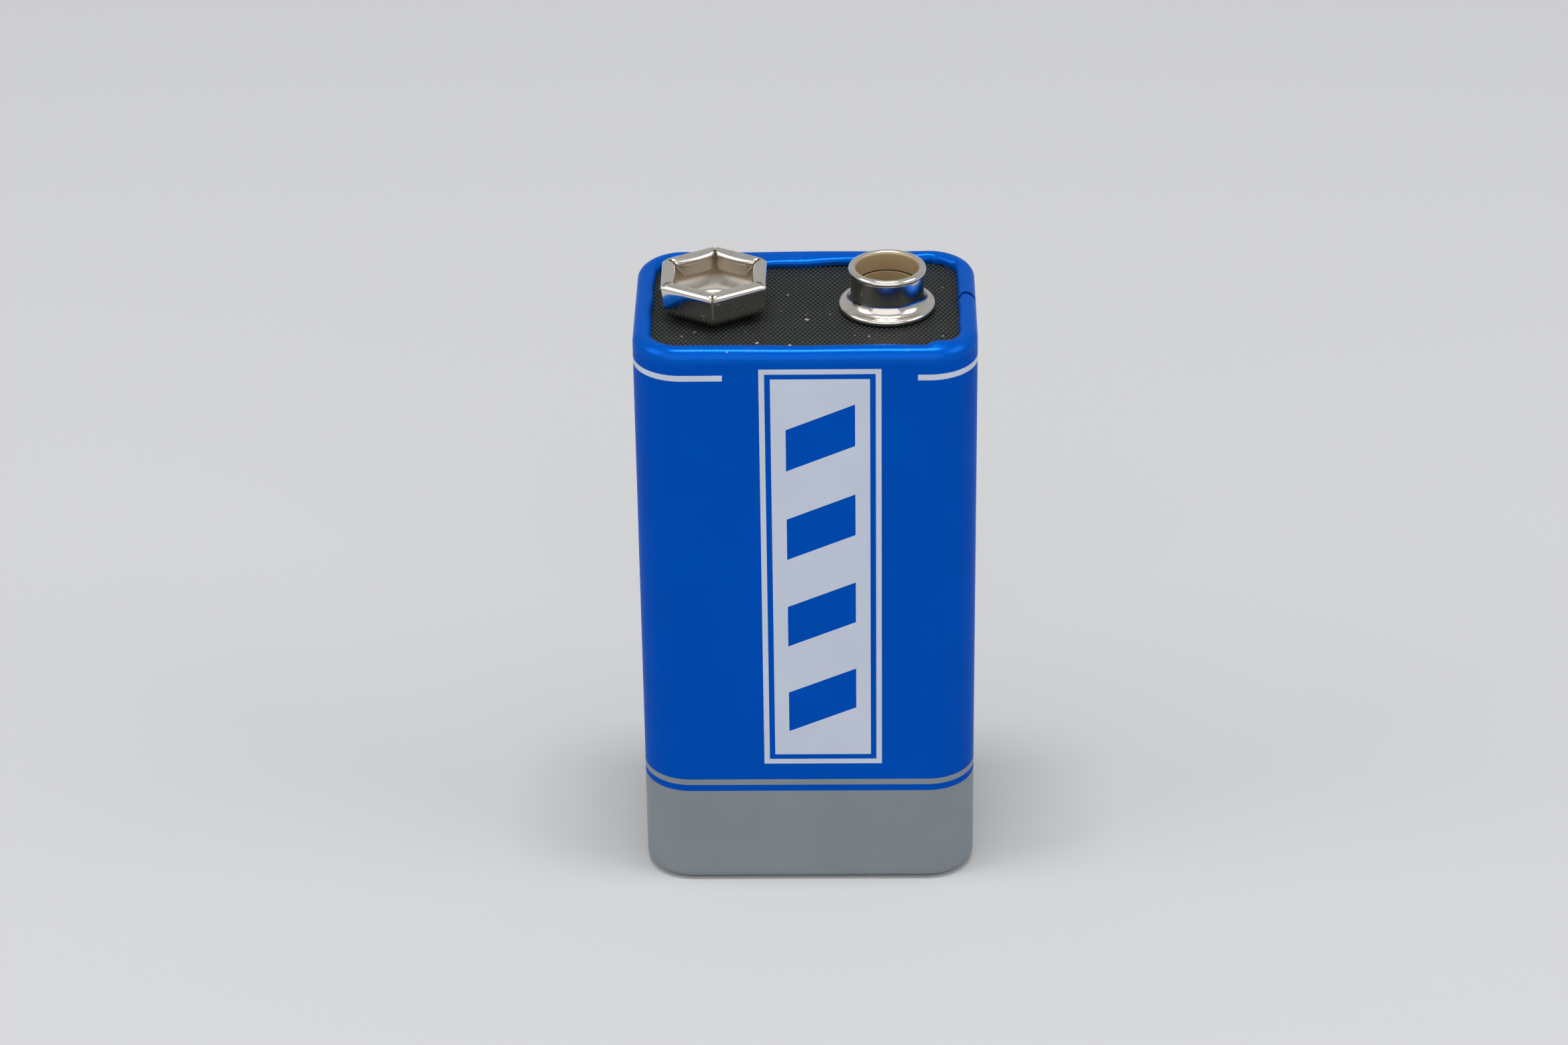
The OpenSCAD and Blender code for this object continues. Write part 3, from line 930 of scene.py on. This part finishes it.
    def build_steel(self) -> Object:
        """Blue jacket: the closed section carried round the run, capped at both sides of the seam.

        Returns:
            The jacket.
        """
        c, r, t, fold, top = self.corner, self.roll, self.sheet, self.fold, self.height
        lip_top, lip_end = top - self.lip, top - self.drop
        outer = joined(
            line(c - fold - self.base_lip, 0.0, c - fold, 0.0, 5),
            arc(c - fold, fold, fold, -90.0, 0.0, 14),
            chain([(c, fold), (c, top - self.fine_rows), (c, top - r)], (44, 16)),
            arc(c - r, top - r, r, 0.0, 90.0, 18),
            arc(c - r, lip_top, self.lip, 90.0, 180.0, 14),
            line(c - r - self.lip, lip_top, c - r - self.lip, lip_end, 3),
        )
        inner = joined(
            line(c - r - self.lip + t, lip_end, c - r - self.lip + t, lip_top, 3),
            arc(c - r, lip_top, self.lip - t, 180.0, 90.0, 8),
            arc(c - r, top - r, r - t, 90.0, 0.0, 10),
            line(c - t, top - r, c - t, fold, 20),
            arc(c - fold, fold, fold - t, 0.0, -90.0, 8),
            line(c - fold, t, c - fold - self.base_lip, t, 3),
        )
        skin = self.skin(self.stations, np.concatenate([outer, inner]))
        piece = closed_grid("steel_jacket", skin, False, 50.0)
        # rolled lightens the rim's ink as a painted highlight, and inside darkens the inner face as painted
        # shade.
        rolled = step(outer[:, 1], top - self.rolled_low, top - self.rolled_high)
        inside = np.concatenate([np.zeros(len(outer)), np.ones(len(inner))])
        for name, rows in (("rolled", np.append(rolled, np.zeros(len(inner)))), ("inside", inside)):
            set_attribute(piece, name, np.repeat(rows, len(self.stations)))
        return piece

    def between(self, start: float, end: float) -> Array:
        """Stations between two places, with both ends."""
        inner = self.stations[(self.stations > start + END_GAP) & (self.stations < end - END_GAP)]
        return np.concatenate([[start], inner, [end]])

    def film(self, run: Array, section: Array) -> Grids:
        """Ink film on the skin."""
        return self.skin(run, section, self.ink), self.skin(run, section, -self.ink)

    def wall(self, low: float, high: float, count: int) -> Array:
        """Section points up the straight wall."""
        return line(self.corner, low, self.corner, high, count)

    def prints(self) -> dict[str, list[Grids]]:
        """Sheets of ink of each printed field, by CAD node.

        Returns:
            Grids of the band, the pinstripe, the top line, the frame and the panel.
        """
        foot = arc(self.corner - self.fold, self.fold, self.fold, -86.0, 0.0, 14)
        band = joined(foot, self.wall(self.fold, self.band_top, 10))
        top_line = self.wall(*self.top_line, 3)
        x0, x1 = self.frame_x, self.frame_x + self.frame_w
        z0, z1 = self.frame_z, self.frame_z + self.frame_h
        w = self.frame_line
        around = self.between(0.0, self.total)
        from_seam = self.between(0.0, self.front_run(x0 - self.line_gap))
        to_seam = self.between(self.front_run(x1 + self.line_gap), self.total)
        across = self.between(self.front_run(x0), self.front_run(x1))
        left, right = (np.array([self.front_run(a), self.front_run(b)])
                       for a, b in ((x0, x0 + w), (x1 - w, x1)))
        upright = self.wall(z0 + w, z1 - w, 60)
        return {
            "grey_band": [self.film(around, band)],
            "grey_pinstripe": [self.film(around, self.wall(*self.pin, 3))],
            "white_top_line": [self.film(from_seam, top_line), self.film(to_seam, top_line)],
            "white_frame": [self.film(across, self.wall(z0, z0 + w, 3)),
                            self.film(across, self.wall(z1 - w, z1, 4)),
                            self.film(left, upright), self.film(right, upright)],
            "white_panel": self.panel(),
        }

    def panel(self) -> list[Grids]:
        """White panel with slanted bars left open: two margins, and strips that slant with the bars.

        Returns:
            Outer and inner points of each sheet.
        """
        edge = self.frame_line + self.frame_gap
        width, height = self.frame_w - 2.0 * edge, self.frame_h - 2.0 * edge
        margin = self.bar_margin * width
        pitch = (height - 2.0 * margin) / self.bars
        slant, thick = self.bar_slant * pitch, self.bar_share * pitch
        low = margin + (pitch - thick - slant) / 2.0
        across = np.linspace(margin, width - margin, 24)
        rise = slant * (across - margin) / (width - 2.0 * margin)
        bars = [low + i * pitch + rise for i in range(self.bars)]
        strips = [(across, bottom, top, 14)
                  for bottom, top in zip([0.0 * rise] + [bar + thick for bar in bars],
                                         bars + [height + 0.0 * rise])]
        margins = [(np.linspace(a, b, 5), np.zeros(5), np.full(5, height), 90)
                   for a, b in ((0.0, margin), (width - margin, width))]
        pairs = []
        for columns, bottom, top, rows in [margins[0]] + strips + [margins[1]]:
            t = np.linspace(0.0, 1.0, rows)[:, None]
            z = self.frame_z + edge + bottom + (top - bottom) * t
            x = np.repeat((self.frame_x + edge + columns)[None, :], rows, axis=0)
            out, up, _ = self.dents(x + self.front_run(0.0), 0.0 * x, z)
            pairs.append(tuple(np.stack([x, -(self.half_d + proud + out), z + up], axis=2)
                               for proud in (self.ink, -self.ink)))
        return pairs


# Top of the battery


@dataclass
class TerminalPlate:
    """Fibreboard plate with an embossed weave, under the jacket's rolled lip."""

    low: Point
    high: Point
    corner: float
    pitch_x: float = 0.36
    pitch_y: float = 0.33
    relief: float = 0.06
    valley: float = -0.35
    level: float = 0.26
    sag: float = 0.012
    steps: int = 4

    def build(self) -> Object:
        """Plate whose top rises by the product of two cosines, with every other row shifted by half.

        The outline is a rounded rectangle: each grid point is pulled in to the corner's arc.

        Returns:
            The plate.
        """
        nx, ny = (int((self.high[k] - self.low[k]) / pitch * self.steps)
                  for k, pitch in ((0, self.pitch_x), (1, self.pitch_y)))
        x, y = np.meshgrid(np.linspace(self.low[0], self.high[0], nx),
                           np.linspace(self.low[1], self.high[1], ny))
        flat_x, flat_y = ((self.high[k] - self.low[k]) / 2.0 - self.corner for k in (0, 1))
        cx = np.clip(x, -flat_x, flat_x)
        cy = np.clip(y, -flat_y, flat_y)
        dx, dy = x - cx, y - cy
        far = np.maximum(np.abs(dx), np.abs(dy))
        length = np.hypot(dx, dy)
        pull = np.where(length > TINY, far / np.maximum(length, TINY), 1.0)
        x, y = cx + dx * pull, cy + dy * pull
        weave = np.cos(2.0 * np.pi * x / self.pitch_x) * np.cos(np.pi * y / self.pitch_y)
        knots = np.clip(weave, self.valley, 1.0)
        top = self.high[2] - self.relief + self.relief * (self.level + (1.0 - self.level) * knots)
        top = top + self.sag * wave(x, (11.0, 7.3), 0.3) * wave(y, (9.1, 6.3), 1.2) - self.sag
        face = np.stack([x, y, top], axis=2).reshape(-1, 3)
        rim = edge_loop(ny, nx)
        foot = face[rim]
        foot[:, 2] = self.low[2]
        below = nx * ny + np.arange(len(rim))
        wall = np.stack([np.roll(rim, -1), rim, below, np.roll(below, -1)], axis=1)
        faces = quads(ny, nx).tolist() + wall.tolist() + [below[::-1].tolist()]
        piece = make_mesh("fibre_terminal_plate", np.concatenate([face, foot]), faces, 60.0)
        # Painted highlight: the weave's crests get a share that lightens the board there.
        crest = np.clip(weave, 0.0, 1.0).ravel() ** 2
        set_attribute(piece, "crest_highlight", np.concatenate([crest, np.zeros(len(rim))]))
        return piece


@dataclass
class Stud:
    """Round stud: rolled foot, concave flare, straight neck, rolled top and a lip turned down inside."""

    x: float
    base: float
    top: float
    radius: float = 2.87
    ring: float = 0.57
    foot: float = 3.58
    foot_bead: float = 0.26
    flare_w: float = 0.58
    flare_h: float = 0.85
    neck_in: float = 0.17
    sheet: float = 0.2
    clear: float = 0.02
    lip_drop: float = 1.2
    foot_satin: float = 0.2
    top_satin: float = 0.08

    def profile(self) -> Array:
        """Closed outline of the section: arcs for the foot, flare and top, lines for the neck and lip.

        Returns:
            Radius and height of each point.
        """
        bead = self.ring / 2.0
        inner = self.radius - self.ring
        neck = self.radius - self.neck_in
        neck_inner = neck - self.sheet - self.clear
        high = self.top - bead
        lip_end = high - self.lip_drop
        under = high - bead * math.sin(math.acos((bead - self.neck_in) / bead))
        shoulder = math.degrees(math.acos((neck - inner - bead) / bead))
        b = self.foot_bead
        rim = self.foot - b
        flat = self.base + 2.0 * b
        swing = np.radians(np.linspace(90.0, 0.0, 18))
        flare = [neck + self.flare_w * (1.0 - np.cos(swing)), flat + self.flare_h * (1.0 - np.sin(swing))]
        return joined(
            line(neck_inner, flat - self.sheet, rim - 0.1, flat - self.sheet, 4),
            arc(rim, self.base + b, b, -90.0, 90.0, 20),
            line(rim, flat, neck + self.flare_w, flat, 3),
            np.stack(flare, axis=1),
            line(neck, flat + self.flare_h, neck, under, 10),
            arc(inner + bead, high, bead, -shoulder, 180.0, 32),
            chain([(inner, high), (inner, lip_end), (neck_inner, lip_end)], (10, 3)),
        )

    def build(self) -> Object:
        """Turned stud whose inside is dull and whose foot and top are a little soft.

        Returns:
            The stud.
        """
        piece = revolve("nickel_stud", self.profile(), self.x, 144, 55.0)
        x, y, z = mesh_points(piece).T
        inside = step(self.radius - self.ring / 2.0 - np.hypot(x - self.x, y), 0.1, 0.27)
        foot = 1.0 - step(z, self.base + 0.7, self.base + 1.0)
        rolled = step(z, self.top - self.ring, self.top - 0.2)
        set_attribute(piece, "tarnish", inside)
        set_attribute(piece, "satin", (self.foot_satin * foot + self.top_satin * rolled) * (1.0 - inside))
        return piece


@dataclass
class Rivet:
    """Dull cup rivet inside the stud."""

    x: float
    low: float
    top: float
    floor: float
    bore: float = 2.0
    wall: float = 0.2
    foot: float = 2.8
    bend: float = 0.25
    flare: float = 0.1
    play: float = 0.05
    tarnish: float = 0.9

    def build(self) -> Object:
        """Turned cup with a rounded floor and a flat foot under the plate.

        Returns:
            The rivet.
        """
        bore, out, foot = self.bore, self.bore + self.wall, self.foot
        floor, under = self.floor + self.play, self.floor - self.wall
        mouth, low = self.top - self.play, self.low
        profile = joined(
            line(0.0, floor, bore - self.bend, floor, 6),
            arc(bore - self.bend, floor + self.bend, self.bend, -90.0, 0.0, 8),
            chain([(bore, floor + self.bend), (bore + self.flare, mouth), (out, mouth), (out, self.floor),
                   (out, low + self.wall), (foot, low + self.wall), (foot, low), (bore, low),
                   (bore, under), (0.0, under)], (10, 3, 8, 4, 4, 2, 4, 4, 4)),
        )
        piece = revolve("dull_cup_rivet", profile, self.x, 96)
        set_attribute(piece, "tarnish", self.tarnish)
        return piece


@dataclass
class Socket:
    """Hexagonal spring socket: six petals that bend up from the floor, curl in and hang down as leaves.

    Each of leaf_cuts is how far the first and the last end of a petal's leaf draw in at its lower edge.
    """

    x: float
    base: float
    top: float
    half_flats: float = 3.875
    bend: float = 1.3
    curl: float = 0.5
    leaf: float = 0.9
    sheet: float = 0.2
    floor_start: float = 1.7
    slit: float = 0.2
    lean: float = 0.06
    tilt: float = 0.14
    bow: float = 0.1
    bead: float = 0.1
    bead_start: float = 0.9
    leaf_tarnish: float = 0.62
    inner_tarnish: float = 0.75
    curl_satin: float = 0.12
    counts: tuple[int, ...] = (10, 16, 8, 30, 12)
    leaf_cuts: tuple[tuple[float, float], ...] = (
        (0.25, 0.25), (0.6, 0.12), (0.12, 0.65), (0.25, 0.25), (0.25, 0.25), (0.25, 0.25))

    def __post_init__(self) -> None:
        """Set at which section points the curl and the leaf start."""
        self.curl_start = sum(self.counts[:3]) - 2
        self.leaf_start = self.curl_start + self.counts[3] - 1

    def section(self, inset: float) -> Array:
        """One face of a petal's section: floor, bend, wall, half turn of curl and the leaf inside.

        Args:
            inset: 0 for the outer face, the sheet's thickness for the inner one.

        Returns:
            Radius and height of each point, in the same number for both faces.
        """
        a, b, c, z0 = self.half_flats, self.bend, self.curl, self.base
        z1 = self.top - c
        low = a - self.tilt
        end = a - 2.0 * c + inset
        floor, bend, wall, curl, leaf = self.counts
        return np.concatenate([
            line(self.floor_start, z0 + inset, low - b, z0 + inset, floor),
            arc(low - b, z0 + b, b - inset, -90.0, 0.0, bend)[1:],
            line(low - inset, z0 + b, a - inset, z1, wall)[1:],
            arc(a - c, z1, c - inset, 0.0, 180.0, curl)[1:],
            line(end, z1, end, z1 - self.leaf, leaf)[1:],
        ])

    def petal(self, turn: float, cuts: tuple[float, float]) -> Grids:
        """Outer and inner grids of one petal.

        Each section point slides along the flat by the share s of its half width, which is its radius
        times the tangent of 30 degrees, less half the slit. The leaf's ends are cut at a slant. The curl
        bows in by a share of one less s squared, and its ends draw in to a rounded bead.

        Args:
            turn: Direction of the petal's flat, in degrees.
            cuts: How far the leaf's first and last ends draw in.

        Returns:
            Outer grid and inner grid.
        """
        edge = self.bead_start
        share = np.concatenate([np.linspace(-1.0, -edge, 7)[:-1], np.linspace(-edge, edge, 27),
                                np.linspace(edge, 1.0, 7)[1:]])
        skin = self.section(0.0)
        index = np.arange(len(skin)).astype(float)
        in_curl = step(index, self.curl_start - 1.0, self.curl_start + 12.0)
        down = np.clip((index - self.leaf_start) / (index[-1] - self.leaf_start), 0.0, 1.0)
        wall = step(skin[:, 1], self.base + 0.1, self.base + self.bend)
        gap = self.slit * wall * (1.0 - 0.2 * in_curl) + 0.002
        half = skin[:, 0] * math.tan(math.pi / 6.0) - gap / 2.0 / math.cos(math.pi / 6.0)
        cut = cuts[0] * np.clip(share, -1.0, 0.0) + cuts[1] * np.clip(share, 0.0, 1.0)
        along = half[:, None] * share - down[:, None] * cut
        end = self.bead * step(np.abs(share), edge, 1.0)
        middle = 1.0 - share**2
        curl_x, curl_z = self.half_flats - self.curl, self.top - self.curl
        cos_t, sin_t = math.cos(math.radians(turn)), math.sin(math.radians(turn))
        grids = []
        for face in (skin, self.section(self.sheet)):
            r = face[:, 0][:, None] - curl_x
            z = face[:, 1][:, None] - curl_z
            inward = step(-r, 0.0, self.curl) * in_curl[:, None]
            r = r * (1.0 - end * in_curl[:, None]) - self.bow * middle * inward
            r = r - self.lean * (down**2)[:, None] + curl_x
            z = np.where(z > 0.0, z * (1.0 - end), z) + curl_z
            grids.append(np.stack([self.x + r * cos_t - along * sin_t, r * sin_t + along * cos_t, z], axis=2))
        return grids[0], grids[1]

    def build(self) -> Object:
        """All six petals as one piece, with dull leaves and inner walls, and a soft floor, bend and curl.

        Returns:
            The socket.
        """
        grids = [self.petal(60.0 * i, cuts) for i, cuts in enumerate(self.leaf_cuts)]
        piece = sheets("nickel_socket", grids, 55.0)
        height = self.section(self.sheet)[:, 1] - self.base
        index = np.arange(len(height)).astype(float)
        leaf = step(index, self.leaf_start - 3.0, self.leaf_start + 4.0)
        curl = step(index, self.curl_start + 2.0, self.curl_start + 10.0) * (1.0 - leaf)
        low = (1.0 - step(height, 0.5, 1.2)) * (index < self.curl_start)
        columns = grids[0][0].shape[1]
        for name, outer, inner in (("tarnish", self.leaf_tarnish * leaf, self.inner_tarnish * (1.0 - low)),
                                   ("satin", self.curl_satin * curl, low)):
            one = np.repeat(np.concatenate([outer, inner]), columns)
            set_attribute(piece, name, np.tile(one, len(grids)))
        return piece


@dataclass
class Eyelet:
    """Hollow eyelet with a rolled head on the socket's floor and a flat tail under the plate."""

    x: float
    floor: float
    tail: float
    bore: float = 1.35
    wall: float = 0.2
    head: float = 2.2
    satin: float = 0.6

    def build(self) -> Object:
        """Turned eyelet.

        Returns:
            The eyelet.
        """
        r = (self.head - self.bore) / 2.0
        out, flange = self.bore + self.wall, self.tail + self.wall
        profile = joined(
            line(self.bore, self.tail, self.bore, self.floor, 8),
            arc(self.bore + r, self.floor, r, 180.0, 0.0, 20),
            chain([(self.head, self.floor), (out, self.floor), (out, flange), (self.head, flange),
                   (self.head, self.tail), (self.bore, self.tail)], (3, 6, 4, 2, 4)),
        )
        piece = revolve("nickel_eyelet", profile[:-1], self.x, 96)
        set_attribute(piece, "satin", self.satin)
        return piece


# Studio


@dataclass
class Studio:
    """Camera, floor and soft light; lengths in mm, angles in degrees, lamps in watts."""

    pitch: float = 29.408
    yaw: float = -0.991
    roll: float = -0.767
    focal_px: float = 6714.4
    eye: Point = (3.303, -294.54, 192.69)
    clip_m: float = 0.01
    floor_half: float = 1500.0
    floor_colour: Colour = (0.577, 0.579, 0.587, 1.0)
    sky_colour: Colour = (0.97, 0.985, 1.0, 1.0)
    horizon: float = 0.25
    zenith: float = 0.4
    gloss: float = 0.45
    back_gloss: float = 0.52
    target: Point = (0.0, 0.0, 25.0)
    lamps: tuple[tuple[str, Point, tuple[float, float], float], ...] = (
        ("overhead_softbox", (0.0, -40.0, 800.0), (360.0, 120.0), 3.3),
        ("left_softbox", (-560.0, -160.0, 430.0), (400.0, 400.0), 1.1),
        ("right_softbox", (560.0, -160.0, 430.0), (400.0, 400.0), 1.1),
        ("front_fill", (-60.0, -760.0, 360.0), (1300.0, 800.0), 2.8),
    )

    def build_camera(self) -> None:
        """Camera at the photograph's place: rolled, yawed and pitched as fitted to it."""
        th, ps, rho = (math.radians(v) for v in (self.pitch, self.yaw, self.roll))
        forward = Vector((math.sin(ps) * math.cos(th), math.cos(ps) * math.cos(th), -math.sin(th)))
        level = Vector((math.cos(ps), -math.sin(ps), 0.0))
        upright = level.cross(forward)
        right = level * math.cos(rho) + upright * math.sin(rho)
        up = upright * math.cos(rho) - level * math.sin(rho)
        data = bpy.data.cameras.new("photo_camera")
        data.sensor_fit = "HORIZONTAL"
        data.sensor_width = SENSOR_MM
        data.lens = self.focal_px / PHOTO_W * SENSOR_MM
        data.clip_start = self.clip_m
        camera = bpy.data.objects.new("photo_camera", data)
        turn = Matrix((right, up, -forward)).transposed().to_4x4()
        camera.matrix_world = Matrix.Translation(Vector(self.eye) * MM) @ turn
        bpy.context.scene.collection.objects.link(camera)
        bpy.context.scene.camera = camera

    def build_floor(self) -> None:
        """Pale floor that lies flat at the battery's base."""
        h = self.floor_half * MM
        mesh = bpy.data.meshes.new("studio_floor")
        mesh.from_pydata([(-h, -h, 0.0), (h, -h, 0.0), (h, h, 0.0), (-h, h, 0.0)], [], [(0, 1, 2, 3)])
        floor = bpy.data.objects.new("studio_floor", mesh)
        bpy.context.scene.collection.objects.link(floor)
        material = bpy.data.materials.new("pale_paper")
        material.use_nodes = True
        Tree(material.node_tree).fill(material.node_tree.nodes["Principled BSDF"], Roughness=0.9,
                                      Base_Color=self.floor_colour, Specular_IOR_Level=0.1)
        mesh.materials.append(material)

    def build_lamps(self) -> None:
        """Rectangular soft lights that face the battery, one for each row of lamps."""
        for name, place, size, watts in self.lamps:
            data = bpy.data.lights.new(name, "AREA")
            data.shape = "RECTANGLE"
            data.size, data.size_y = size[0] * MM, size[1] * MM
            data.energy = watts
            light = bpy.data.objects.new(name, data)
            light.location = Vector(place) * MM
            aim = Vector(self.target) * MM - light.location
            light.rotation_euler = aim.to_track_quat("-Z", "Y").to_euler()
            bpy.context.scene.collection.objects.link(light)

    def build_world(self) -> None:
        """Pale surroundings, brighter above, and of their own strength where metal and ink mirror them."""
        world = bpy.data.worlds.new("white_room")
        world.use_nodes = True
        tree = Tree(world.node_tree)
        parts = tree.add("SeparateXYZ", Vector=tree.add("TexCoord").outputs["Generated"])
        lit = tree.ramp(parts.outputs["Z"], 0.0, 0.9, self.horizon, self.zenith)
        mirrored = tree.ramp(parts.outputs["Y"], 0.3, 0.8, self.gloss, self.back_gloss)
        glossy = tree.add("LightPath").outputs["Is Glossy Ray"]
        tree.fill(world.node_tree.nodes["Background"], Color=self.sky_colour,
                  Strength=tree.ramp(glossy, 0.0, 1.0, lit, mirrored))
        bpy.context.scene.world = world

    def build(self) -> None:
        """Set up the view and everything round the object."""
        self.build_camera()
        self.build_floor()
        self.build_world()
        self.build_lamps()
        bpy.context.scene.view_settings.view_transform = "Standard"


# Assembly


def box_mm(node: str) -> tuple[Point, Point]:
    """Lowest and highest corners of a CAD node, in mm."""
    low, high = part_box(node)
    return tuple(float(v) / MM for v in low), tuple(float(v) / MM for v in high)


def wear(piece: Object, material: Material) -> None:
    """Give a piece one material instead of any it has."""
    piece.data.materials.clear()
    piece.data.materials.append(material)


def dress(piece: Object, material: Material, node: str) -> None:
    """Give a new piece its material and place it in the frame instead of a node.

    Args:
        piece: The new piece.
        material: Its material.
        node: CAD node that it stands for.
    """
    wear(piece, material)
    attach(piece, "root")
    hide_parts(node)
    LOG.info("%s: %d faces", piece.name, len(piece.data.polygons))


def dress_inner_nodes() -> None:
    """Give every CAD node that stays the material of its slot."""
    slots = {row["node"]: row["material_slot"] for row in frame["record"]["subparts"]}
    built = {slot: finish.build() for slot, finish in INNER_FINISHES.items()}
    for name, node in frame["nodes"].items():
        if slots[name] in built:
            wear(node, built[slots[name]])


def main() -> None:
    """Build the studio and the battery's visible pieces, in order."""
    logging.basicConfig(level=logging.INFO, format="%(name)s: %(message)s")
    Studio().build()
    jacket = Jacket.from_frame()
    dress(jacket.build_steel(), BLUE_INK.build(), "jacket")
    prints = jacket.prints()
    for material, slot, nodes in (
            (GREY_INK.build(), Slot.GREY, ("grey_band", "grey_pinstripe")),
            (WHITE_INK.build(), Slot.WHITE, ("white_frame", "white_panel", "white_top_line"))):
        for node in nodes:
            dress(sheets(f"{node}_ink", prints[node]), material, node)
    low, high = box_mm("terminal_plate")
    plate = TerminalPlate(low, high, corner=jacket.corner + high[0] - jacket.half_w)
    dress(plate.build(), BLACK_BOARD.build(), "terminal_plate")
    nickel = NICKEL.build()
    low, high = box_mm("positive_stud")
    stud_x = (low[0] + high[0]) / 2.0
    dress(Stud(stud_x, low[2], high[2]).build(), nickel, "positive_stud")
    rivet_low, rivet_high = box_mm("positive_rivet")
    rivet = Rivet(stud_x, rivet_low[2], rivet_high[2], floor=low[2])
    dress(rivet.build(), DULL_BRASS.build(), "positive_rivet")
    low, high = box_mm("negative_socket")
    socket_x = (low[0] + high[0]) / 2.0
    socket = Socket(socket_x, low[2], high[2])
    dress(socket.build(), nickel, "negative_socket")
    eyelet = Eyelet(socket_x, low[2] + socket.sheet, box_mm("negative_eyelet")[0][2])
    dress(eyelet.build(), nickel, "negative_eyelet")
    dress_inner_nodes()


if __name__ == "__main__":
    main()
